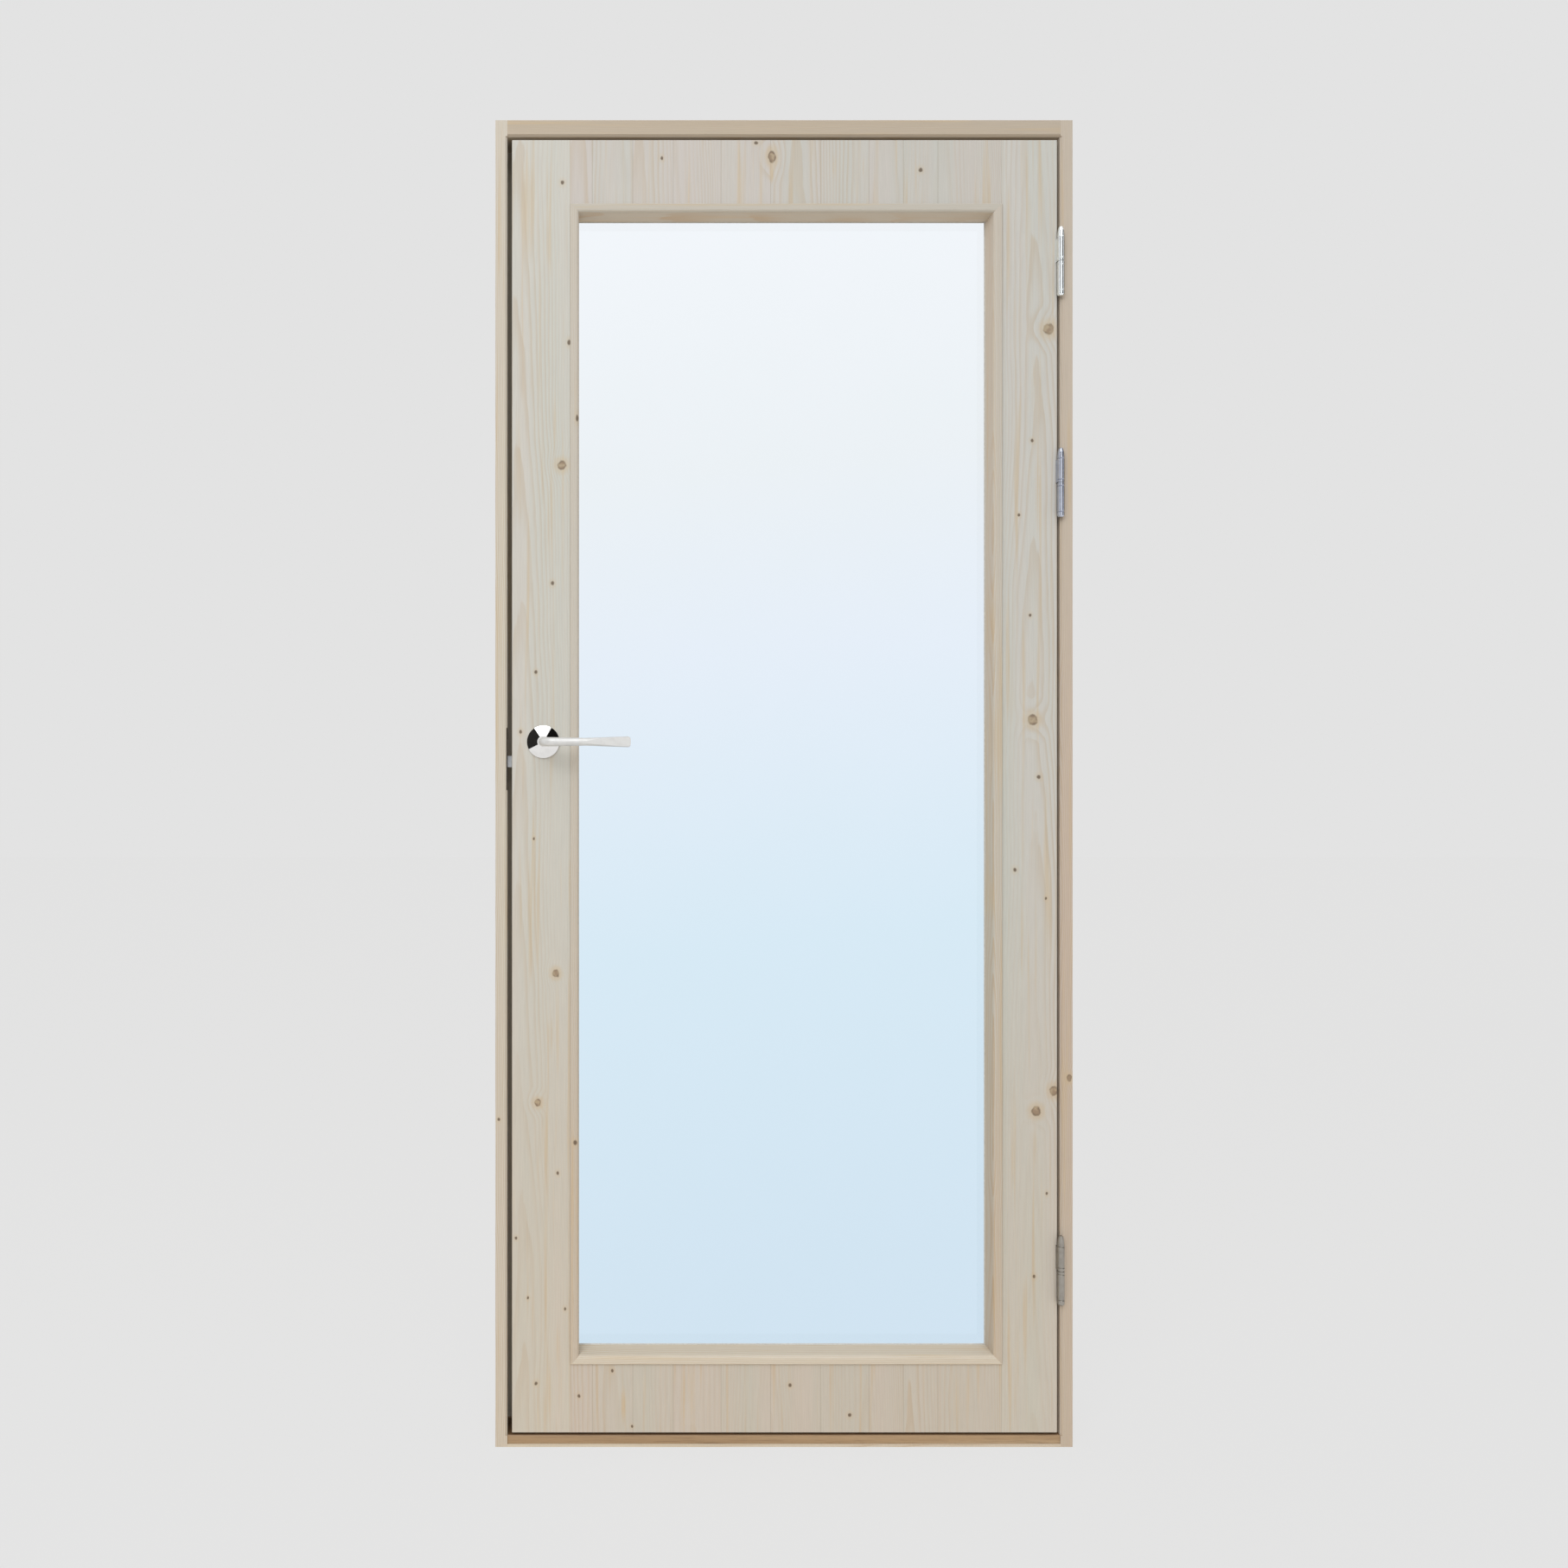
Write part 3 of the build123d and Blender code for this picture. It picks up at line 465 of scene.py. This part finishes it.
UPRIGHT_SCRATCHES = (900, 900, 60)
STRIKE_SCREW_INSET = 0.014
STRIKE_SCREW_SHIFT = 0.002
dark_steel = plated_metal(
    "dark_steel", srgb(92, 86, 80), srgb(120, 116, 110), (0.4, 0.6), UPRIGHT_SCRATCHES
)
finish(dark_steel, "strike_plate")
strike_low, strike_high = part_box("strike_plate")
strike_screw_y = (strike_low.y + strike_high.y) / 2 + STRIKE_SCREW_SHIFT
for end, height in (
    ("lower", strike_low.z + STRIKE_SCREW_INSET),
    ("upper", strike_high.z - STRIKE_SCREW_INSET),
):
    centre = Vector((strike_high.x, strike_screw_y, height))
    screw_head(f"strike_{end}_screw", centre, (1, 0, 0), dark_steel, "frame")


# The leaf: two stiles and two rails of edge-glued spruce staves, with the grain upright on all four.
# Sanded and left untreated, so the knots, resin flames and glue lines show.
LOCK_STILE_TONES = (srgb(208, 201, 194), srgb(205, 203, 196), srgb(201, 202, 195))
HINGE_STILE_TONES = (srgb(207, 203, 198), srgb(205, 203, 198), srgb(201, 203, 197))
RAIL_TONES = (srgb(203, 197, 192), srgb(202, 198, 192), srgb(198, 198, 192))
LEAF_LATEWOOD = srgb(192, 175, 152)
# Painted warm shade at the foot of the leaf's boards and its upright beads.
LEAF_FOOT_SHADE = (0.965, 0.91, 0.865, 1.0)
LEAF_SEAMS = (-0.322, -0.289, -0.228, -0.167, -0.095, -0.020, 0.055, 0.128, 0.180, 0.232, 0.328)
# Marks on the boards: x, z, radius, and length over width.
LEAF_KNOTS = (
    (-0.018, 1.945, 0.0058, 1.6),
    (0.399, 1.685, 0.0080, 1.1),
    (-0.335, 1.480, 0.0065, 1.1),
    (0.375, 1.096, 0.0075, 1.1),
    (-0.344, 0.714, 0.0055, 1.1),
    (-0.371, 0.519, 0.0050, 1.1),
    (0.380, 0.506, 0.0070, 1.1),
    (0.4065, 0.537, 0.0060, 1.3),
)
LEAF_PIN_KNOTS = (
    (-0.334, 1.906, 0.0030, 1.2),
    (-0.184, 1.943, 0.0024, 1.4),
    (0.206, 1.925, 0.0032, 1.2),
    (-0.042, 1.966, 0.0034, 0.8),
    (-0.324, 1.665, 0.0026, 1.8),
    (-0.349, 1.302, 0.0030, 1.2),
    (0.374, 1.517, 0.0026, 1.2),
    (0.354, 1.405, 0.0024, 1.2),
    (0.371, 1.254, 0.0022, 1.3),
    (-0.374, 1.168, 0.0026, 1.2),
    (-0.397, 1.078, 0.0024, 1.4),
    (0.384, 1.010, 0.0032, 1.1),
    (-0.377, 0.917, 0.0018, 1.4),
    (0.348, 0.870, 0.0028, 1.2),
    (0.395, 0.827, 0.0018, 1.6),
    (-0.317, 0.460, 0.0034, 1.3),
    (-0.341, 0.413, 0.0022, 1.4),
    (0.396, 0.382, 0.0020, 1.4),
    (-0.404, 0.315, 0.0022, 1.2),
    (0.377, 0.257, 0.0026, 1.2),
    (-0.386, 0.225, 0.0020, 1.3),
    (-0.330, 0.208, 0.0020, 1.4),
    (-0.259, 0.115, 0.0022, 1.4),
    (-0.374, 0.096, 0.0026, 1.2),
    (0.009, 0.093, 0.0028, 1.1),
    (-0.309, 0.077, 0.0024, 1.3),
    (0.099, 0.048, 0.0028, 1.2),
    (-0.229, 0.031, 0.0020, 1.2),
)
LEAF_FLAMES = (
    (-0.018, 1.920, 0.0060, 3.4),
    (0.076, 1.930, 0.0030, 9.0),
    (0.120, 1.930, 0.0022, 12.0),
    (-0.242, 0.062, 0.0060, 6.0),
    (-0.152, 0.075, 0.0045, 24.0),
    (-0.136, 0.075, 0.0035, 30.0),
    (-0.322, 0.860, 0.0050, 20.0),
    (-0.340, 0.150, 0.0060, 8.0),
    (0.376, 1.600, 0.0040, 16.0),
    (-0.352, 0.620, 0.0050, 9.0),
    (0.382, 1.465, 0.0045, 26.0),
    (0.378, 0.455, 0.0050, 9.0),
)
MARK_REACH = 5


def marks_on(piece, marks):
    """Those marks that lie on a piece, or near enough to bend its grain."""
    low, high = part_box(piece)
    return [
        (x, z, radius, stretch)
        for x, z, radius, stretch in marks
        if low.x - MARK_REACH * radius < x < high.x + MARK_REACH * radius
        and low.z - MARK_REACH * radius < z < high.z + MARK_REACH * radius
    ]


for piece, tones, seed in (
    ("lock_stile", LOCK_STILE_TONES, 1.0),
    ("hinge_stile", HINGE_STILE_TONES, 5.0),
    ("top_rail", RAIL_TONES, 9.0),
    ("bottom_rail", RAIL_TONES, 13.0),
):
    low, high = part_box(piece)
    piece_spruce = spruce(
        f"{piece}_spruce",
        "Z",
        tones,
        LEAF_LATEWOOD,
        seed,
        staves=[low.x, *(seam for seam in LEAF_SEAMS if low.x < seam < high.x), high.x],
        knots=marks_on(piece, LEAF_KNOTS),
        pin_knots=marks_on(piece, LEAF_PIN_KNOTS),
        flames=marks_on(piece, LEAF_FLAMES),
        foot=LEAF_FOOT_SHADE,
    )
    finish(piece_spruce, piece)


# The glass: one clear float pane, 5 mm thick, held between the beads.
# A thin grey sealing tape closes the joint between the pane and the beads, on both faces.
GLASS_TINT = (0.985, 0.995, 1.0, 1.0)
GLASS_SMEAR = (0.975, 0.99, 0.99, 1.0)


def clear_glass(name):
    """Clear glass with a trace of green from its iron, its faces as slightly wavy as float glass is."""
    material, tree, shader = bare_material(name)
    place = place_on(tree)
    smeared = spread(tree, noise(tree, place, 9.0, 3.0), 0.3, 0.7)
    waves = noise(tree, place, 3.0, 1.0)
    bump = put(tree, "Bump", {"Strength": 0.1, "Distance": 0.001, "Height": waves})
    tree.links.new(over(tree, smeared, GLASS_TINT, GLASS_SMEAR), shader.inputs["Base Color"])
    tree.links.new(bump.outputs["Normal"], shader.inputs["Normal"])
    shader.inputs["Roughness"].default_value = 0.0
    shader.inputs["IOR"].default_value = 1.5
    shader.inputs["Transmission Weight"].default_value = 1.0
    return material


def rubber(name, colour, worn):
    """Soft grey sealing strip, faintly mottled."""
    material, tree, shader = bare_material(name)
    mottle = noise(tree, place_on(tree), 300.0, 3.0)
    mottled = over(tree, spread(tree, mottle, 0.3, 0.7), colour, worn)
    roughness = spread(tree, mottle, 0.3, 0.7, 0.55, 0.75)
    dress(tree, shader, mottled, roughness, mottle, strength=0.2, distance=0.0002)
    return material


def mesh_object(name, corners, faces, material):
    """An object made from its corners and faces, in one material."""
    data = bpy.data.meshes.new(name)
    data.from_pydata([tuple(corner) for corner in corners], [], faces)
    return show(name, data, material)


finish(clear_glass("clear_float_glass"), "glass_pane")
nodes["glass_pane"].visible_shadow = False

TAPE_LEG = 0.0014
TAPE_SIDES = 3
pane_low, pane_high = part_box("glass_pane")
sight_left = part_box("front_bead_lock_side")[1].x
sight_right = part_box("front_bead_hinge_side")[0].x
sight_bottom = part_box("front_bead_bottom")[1].z
sight_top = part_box("front_bead_top")[0].z
tape_rubber = rubber("tape_rubber", srgb(206, 206, 202), srgb(194, 194, 190))
for face, glass_y, outward in (("front", pane_low.y, -1), ("rear", pane_high.y, 1)):
    corners = []
    for x, z, inward_x, inward_z in (
        (sight_left, sight_bottom, 1, 1),
        (sight_right, sight_bottom, -1, 1),
        (sight_right, sight_top, -1, -1),
        (sight_left, sight_top, 1, -1),
    ):
        corners.append((x, glass_y, z))
        corners.append((x, glass_y + outward * TAPE_LEG, z))
        corners.append((x + inward_x * TAPE_LEG, glass_y, z + inward_z * TAPE_LEG))
    faces = []
    for here in range(0, len(corners), TAPE_SIDES):
        there = (here + TAPE_SIDES) % len(corners)
        for first in range(TAPE_SIDES):
            second = (first + 1) % TAPE_SIDES
            quad = (here + first, there + first, there + second, here + second)
            faces.append(quad if outward < 0 else tuple(reversed(quad)))
    tape = mesh_object(f"{face}_glazing_tape", corners, faces, tape_rubber)
    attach(tape, "leaf")


# The glazing beads: eight mitred spruce mouldings, four in front of the glass and four behind it.
# Rounded over the glass, pinned and left untreated; the grain runs along each bead.
BEAD_TONES = (srgb(201, 193, 182), srgb(200, 196, 187), srgb(196, 190, 179))
# The bottom beads' tones are lighter than the others': a painted highlight, as their tops face up into the
# light.
BOTTOM_BEAD_LIT_TONES = (srgb(216, 205, 191), srgb(214, 207, 195), srgb(211, 202, 188))
BEAD_LATEWOOD = srgb(190, 164, 130)
BEAD_PIN_KNOTS = (
    (-0.312, 1.550, 0.0024, 2.4),
    (-0.315, 0.460, 0.0034, 1.3),
)
BEAD_FLAMES = (
    (0.314, 1.240, 0.0040, 20.0),
    (0.314, 0.830, 0.0050, 9.0),
    (-0.314, 1.580, 0.0040, 14.0),
)
upright_bead_spruce = spruce(
    "upright_bead_spruce",
    "Z",
    BEAD_TONES,
    BEAD_LATEWOOD,
    seed=12.0,
    pin_knots=BEAD_PIN_KNOTS,
    flames=BEAD_FLAMES,
    foot=LEAF_FOOT_SHADE,
)
top_bead_spruce = spruce("top_bead_spruce", "X", BEAD_TONES, BEAD_LATEWOOD, seed=17.0)
# Painted highlight: the bottom beads take the lighter tones.
lit_bottom_bead_spruce = spruce("lit_bottom_bead_spruce", "X", BOTTOM_BEAD_LIT_TONES, BEAD_LATEWOOD, seed=19.0)
for face in ("front", "rear"):
    finish(upright_bead_spruce, f"{face}_bead_hinge_side", f"{face}_bead_lock_side")
    finish(top_bead_spruce, f"{face}_bead_top")
    finish(lit_bottom_bead_spruce, f"{face}_bead_bottom")


# The hinges: three lift-off pairs, turned steel knuckles with finials on plates let into leaf and jamb.
# Zinc plated: the upper one bright, the middle one bluish, the lowest matt. Two screws hold each plate.
POLISHED_ZINC = (0.12, 0.2)
MATT_ZINC = (0.42, 0.55)
PLATE_SCREW_RISES = (0.010, 0.026)
JAMB_PLATE_DROP = 0.004
PLATE_SCREW_BACK = 0.011
bright_zinc = plated_metal(
    "bright_zinc", srgb(244, 248, 249), srgb(232, 236, 239), POLISHED_ZINC, UPRIGHT_SCRATCHES
)
blue_zinc = plated_metal(
    "blue_zinc", srgb(188, 192, 204), srgb(173, 179, 195), POLISHED_ZINC, UPRIGHT_SCRATCHES
)
grey_zinc = plated_metal(
    "grey_zinc", srgb(161, 156, 148), srgb(147, 142, 135), MATT_ZINC, UPRIGHT_SCRATCHES
)
leaf_edge_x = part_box("hinge_stile")[1].x
jamb_face_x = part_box("hinge_jamb")[0].x
for position, metal, slot_name in (
    ("lower", grey_zinc, "grey_hinge"),
    ("middle", blue_zinc, "bright_hinge"),
    ("upper", bright_zinc, "bright_hinge"),
):
    frame_half = f"{position}_hinge_frame_half"
    leaf_half = f"{position}_hinge_leaf_half"
    finish(metal, frame_half, leaf_half)
    split_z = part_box(leaf_half)[0].z
    screw_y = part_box(leaf_half)[1].y - PLATE_SCREW_BACK
    for number, rise in enumerate(PLATE_SCREW_RISES):
        above = Vector((leaf_edge_x, screw_y, split_z + rise))
        below = Vector((jamb_face_x, screw_y, split_z - rise - JAMB_PLATE_DROP))
        screw_head(f"{position}_leaf_plate_screw_{number}", above, (1, 0, 0), metal, "leaf")
        screw_head(f"{position}_jamb_plate_screw_{number}", below, (-1, 0, 0), metal, "frame")


# The lock: a steel mortise case behind a rounded forend in the leaf's edge, and its bevelled latch bolt.
# Zinc plated, with two screws through the forend.
FOREND_SCREW_INSET = 0.011
lock_steel = plated_metal(
    "lock_steel", srgb(178, 180, 182), srgb(160, 162, 166), (0.25, 0.42), UPRIGHT_SCRATCHES
)
finish(lock_steel, "mortise_lock", "latch_bolt", "spindle")
lock_low, lock_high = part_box("mortise_lock")
for end, height in (
    ("lower", lock_low.z + FOREND_SCREW_INSET),
    ("upper", lock_high.z - FOREND_SCREW_INSET),
):
    centre = Vector((lock_low.x, (lock_low.y + lock_high.y) / 2, height))
    screw_head(f"forend_{end}_screw", centre, (-1, 0, 0), lock_steel, "leaf")


# The roses: turned discs that cover the spindle hole on both faces of the lock stile.
# Brass, polished and chromed to a mirror, clipped over a fixing plate.
chrome = plated_metal(
    "polished_chrome", srgb(227, 226, 224), srgb(221, 220, 218), (0.02, 0.05), (300, 300, 300)
)
finish(chrome, "front_rose", "rear_rose")


# The levers: one on each face, on a square spindle; a round neck, an elbow and a flattened, waisted bar.
# Cast metal with a satin finish, brushed along the bar.
satin = plated_metal(
    "satin_metal", srgb(222, 222, 221), srgb(215, 215, 214), (0.5, 0.6), (40, 900, 900), sheen=0.6
)
finish(satin, "front_lever", "rear_lever")


# The studio: a pale floor that keeps the door's shadow, and plain air of the same grey round it.
# Camera, mirrored and passed-through rays meet the plain grey; all others meet a soft warm light.
BACKGROUND = srgb(227, 227, 227)
MIRRORED_BOOST = 0.3
AMBIENT_COLOUR = (1.0, 0.975, 0.94, 1.0)
AMBIENT_LEVEL = 0.5
FLOOR_HALF = 9.0
FLOOR_FRONT = -1.3
FLOOR_LIT_SHARE = 0.1
FLOOR_GLOW = 1.005
FLOOR_PAINT = (0.95, 0.95, 0.95, 1.0)
FLOOR_BOUNCE = (0.93, 0.85, 0.72, 1.0)


def background_rays(tree):
    """1 for the rays that meet the plain background: the camera's, mirrored and passed-through ones."""
    path = put(tree, "LightPath").outputs
    seen = maths(tree, "MAXIMUM", path["Is Camera Ray"], path["Is Glossy Ray"])
    return maths(tree, "MAXIMUM", seen, path["Is Transmission Ray"])


def background_level(tree, level):
    """The background's brightness: level, and more for mirrored rays, but not through glass."""
    path = put(tree, "LightPath").outputs
    mirrored = maths(tree, "GREATER_THAN", path["Is Glossy Ray"], path["Is Transmission Ray"])
    return maths(tree, "MULTIPLY_ADD", mirrored, MIRRORED_BOOST, level)


def output_of(tree, kind, shader):
    """Makes a shader the output of a world or a material."""
    tree.links.new(shader, tree.nodes[kind + " Output"].inputs["Surface"])


world = bpy.data.worlds.new("studio")
bpy.context.scene.world = world
world.use_nodes = True
air = world.node_tree
ambient = put(air, "Background", {"Color": AMBIENT_COLOUR, "Strength": AMBIENT_LEVEL}).outputs[0]
plain = put(air, "Background", {"Color": BACKGROUND, "Strength": background_level(air, 1.0)}).outputs[0]
output_of(air, "World", put(air, "MixShader", {0: background_rays(air), 1: ambient, 2: plain}).outputs[0])

floor_paint, floor_tree, floor_shader = bare_material("pale_floor")
bounced = put(floor_tree, "LightPath").outputs["Is Diffuse Ray"]
floor_colour = over(floor_tree, bounced, FLOOR_PAINT, FLOOR_BOUNCE)
floor_tree.links.new(floor_colour, floor_shader.inputs["Base Color"])
floor_shader.inputs["Roughness"].default_value = 0.9
floor_level = background_level(floor_tree, FLOOR_GLOW)
glow = put(floor_tree, "Emission", {"Color": BACKGROUND, "Strength": floor_level}).outputs[0]
glow_share = maths(floor_tree, "MULTIPLY", background_rays(floor_tree), 1 - FLOOR_LIT_SHARE)
floor_mix = put(floor_tree, "MixShader", {0: glow_share, 1: floor_shader.outputs[0], 2: glow})
output_of(floor_tree, "Material", floor_mix.outputs[0])
floor_corners = [
    (-FLOOR_HALF, FLOOR_FRONT, 0),
    (FLOOR_HALF, FLOOR_FRONT, 0),
    (FLOOR_HALF, FLOOR_HALF, 0),
    (-FLOOR_HALF, FLOOR_HALF, 0),
]
mesh_object("floor", floor_corners, [(0, 1, 2, 3)], floor_paint)


# The lamps: a wide soft light from high in front, and a window-like one from the left.
# Metal doesn't mirror the window, so that the roses keep their bright and dark parts.
DAYLIGHT = (0.97, 0.99, 1.0)
SUN_LEVEL = 0.85
SUN_SPREAD = math.radians(45)
SUN_FROM = Vector((-0.03, -0.67, 0.74))
WINDOW_POWER = 58
WINDOW_SIZE = 2.0
WINDOW_PLACE = Vector((-1.9, -3.2, 3.0))


def lamp(name, kind, strength, comes_from, place=(0, 0, 0)):
    """A lamp of daylight colour whose light comes from a direction."""
    data = bpy.data.lights.new(name, kind)
    data.energy = strength
    data.color = DAYLIGHT
    made = bpy.data.objects.new(name, data)
    made.location = place
    made.rotation_euler = comes_from.to_track_quat("Z", "Y").to_euler()
    bpy.context.scene.collection.objects.link(made)
    return made


sun = lamp("soft_light", "SUN", SUN_LEVEL, SUN_FROM)
sun.data.angle = SUN_SPREAD
door_middle = Vector((0, 0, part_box("hinge_jamb")[1].z / 2))
window = lamp("window_light", "AREA", WINDOW_POWER, WINDOW_PLACE - door_middle, WINDOW_PLACE)
window.data.size = WINDOW_SIZE
window.visible_glossy = False


# The cards: a pale blue one in the middle of the pane, which only rays through the glass meet,
# and dark ones before and beside the door, which only the metal mirrors.
SKY_COLOURS = (
    (0.0, (0.630, 0.767, 0.882, 1.0)),
    (0.36, (0.677, 0.818, 0.917, 1.0)),
    (0.62, (0.788, 0.858, 0.944, 1.0)),
    (0.785, (0.837, 0.880, 0.915, 1.0)),
    (1.0, (0.891, 0.923, 0.962, 1.0)),
)
SKY_OVERLAP = 0.004
SKY_TILT = 0.1
SKY_SPILL = (1.0, 0.8, 0.62, 1.0)
CHARCOAL = (0.05, 0.05, 0.05, 1.0)
BLACK = (0.015, 0.015, 0.015, 1.0)
LEFT_CARD_ANGLES = (122, 208)
RIGHT_CARD_ANGLES = (14, 58)
CARD_DISTANCE = 3.0
CARD_RADII = (2.75, 5.5)
CARD_STEPS = 6
SIDE_CARD_X = 3.5
SIDE_CARD_Y = (-0.75, 3.0)
SIDE_CARD_TOP = 4.0


def shown_only_to(card, glossy=False, transmission=False):
    """A card of the studio that only mirrored rays or rays through glass can meet."""
    card.visible_camera = False
    card.visible_diffuse = False
    card.visible_shadow = False
    card.visible_glossy = glossy
    card.visible_transmission = transmission


def sky_paint(name):
    """A glow that pales from blue upwards, and is warm where wood scatters it."""
    material, tree, _ = bare_material(name)
    axes = axes_of(tree, place_on(tree))
    height = maths(tree, "MULTIPLY_ADD", axes["X"], -SKY_TILT, axes["Z"])
    colour = ramp(tree, spread(tree, height, sight_bottom, sight_top, smooth=False), SKY_COLOURS)
    scattered = spread(tree, put(tree, "LightPath").outputs["Diffuse Depth"], 0.0, 1.0, smooth=False)
    colour = over(tree, scattered, colour, SKY_SPILL, "MULTIPLY")
    output_of(tree, "Material", put(tree, "Emission", {"Color": colour, "Strength": 1.0}).outputs[0])
    return material


def card_paint(name, colour):
    """Dull dark paint that the glass doesn't mirror."""
    material, tree, shader = bare_material(name)
    shader.inputs["Base Color"].default_value = colour
    shader.inputs["Specular IOR Level"].default_value = 0.0
    glass_rays = put(tree, "LightPath").outputs["Is Singular Ray"]
    unseen = put(tree, "BsdfTransparent").outputs[0]
    mixed = put(tree, "MixShader", {0: glass_rays, 1: shader.outputs[0], 2: unseen})
    output_of(tree, "Material", mixed.outputs[0])
    return material


sky_y = (pane_low.y + pane_high.y) / 2
sky_corners = [
    (sight_left - SKY_OVERLAP, sky_y, sight_bottom - SKY_OVERLAP),
    (sight_right + SKY_OVERLAP, sky_y, sight_bottom - SKY_OVERLAP),
    (sight_right + SKY_OVERLAP, sky_y, sight_top + SKY_OVERLAP),
    (sight_left - SKY_OVERLAP, sky_y, sight_top + SKY_OVERLAP),
]
sky_card = mesh_object("sky_card", sky_corners, [(0, 1, 2, 3)], sky_paint("sky_card"))
shown_only_to(sky_card, transmission=True)

rose_low, rose_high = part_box("front_rose")
rose_middle = (rose_low + rose_high) / 2
black_paint = card_paint("black_card", BLACK)
charcoal_paint = card_paint("charcoal_card", CHARCOAL)
for name, (start, end), paint in (
    ("left_card", LEFT_CARD_ANGLES, charcoal_paint),
    ("right_card", RIGHT_CARD_ANGLES, black_paint),
):
    corners = []
    for radius in CARD_RADII:
        for step in range(CARD_STEPS + 1):
            angle = math.radians(start + (end - start) * step / CARD_STEPS)
            out = Vector((radius * math.cos(angle), -CARD_DISTANCE, radius * math.sin(angle)))
            corners.append(rose_middle + out)
    row = CARD_STEPS + 1
    faces = [(step, step + 1, step + 1 + row, step + row) for step in range(CARD_STEPS)]
    shown_only_to(mesh_object(name, corners, faces, paint), glossy=True)
side_corners = [(SIDE_CARD_X, y, z) for z in (0.0, SIDE_CARD_TOP) for y in SIDE_CARD_Y]
shown_only_to(mesh_object("side_card", side_corners, [(0, 1, 3, 2)], black_paint), glossy=True)


# The camera: level and square to the door, before its lever and 1.75 m from the leaf.
# Its shift puts the door where the photograph has it; pixels are those of the photograph.
PHOTO_SIZE = 1814
PHOTO_CENTRE = PHOTO_SIZE / 2
EYE_PIXEL = (600, 860)
METRES_PER_PIXEL = 0.001303
FOOT_PIXEL = 1674
EYE_DISTANCE = 1.75
SENSOR_WIDTH = 36
eye = bpy.data.cameras.new("eye")
eye.sensor_width = SENSOR_WIDTH
eye.lens = SENSOR_WIDTH * EYE_DISTANCE / (PHOTO_SIZE * METRES_PER_PIXEL)
eye.shift_x = (PHOTO_CENTRE - EYE_PIXEL[0]) / PHOTO_SIZE
eye.shift_y = (EYE_PIXEL[1] - PHOTO_CENTRE) / PHOTO_SIZE
eye_object = bpy.data.objects.new("eye", eye)
eye_object.location = (
    (EYE_PIXEL[0] - PHOTO_CENTRE) * METRES_PER_PIXEL,
    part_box("top_rail")[0].y - EYE_DISTANCE,
    (FOOT_PIXEL - EYE_PIXEL[1]) * METRES_PER_PIXEL,
)
eye_object.rotation_euler = (math.pi / 2, 0, 0)
bpy.context.scene.collection.objects.link(eye_object)
bpy.context.scene.camera = eye_object
bpy.context.scene.view_settings.view_transform = "Standard"
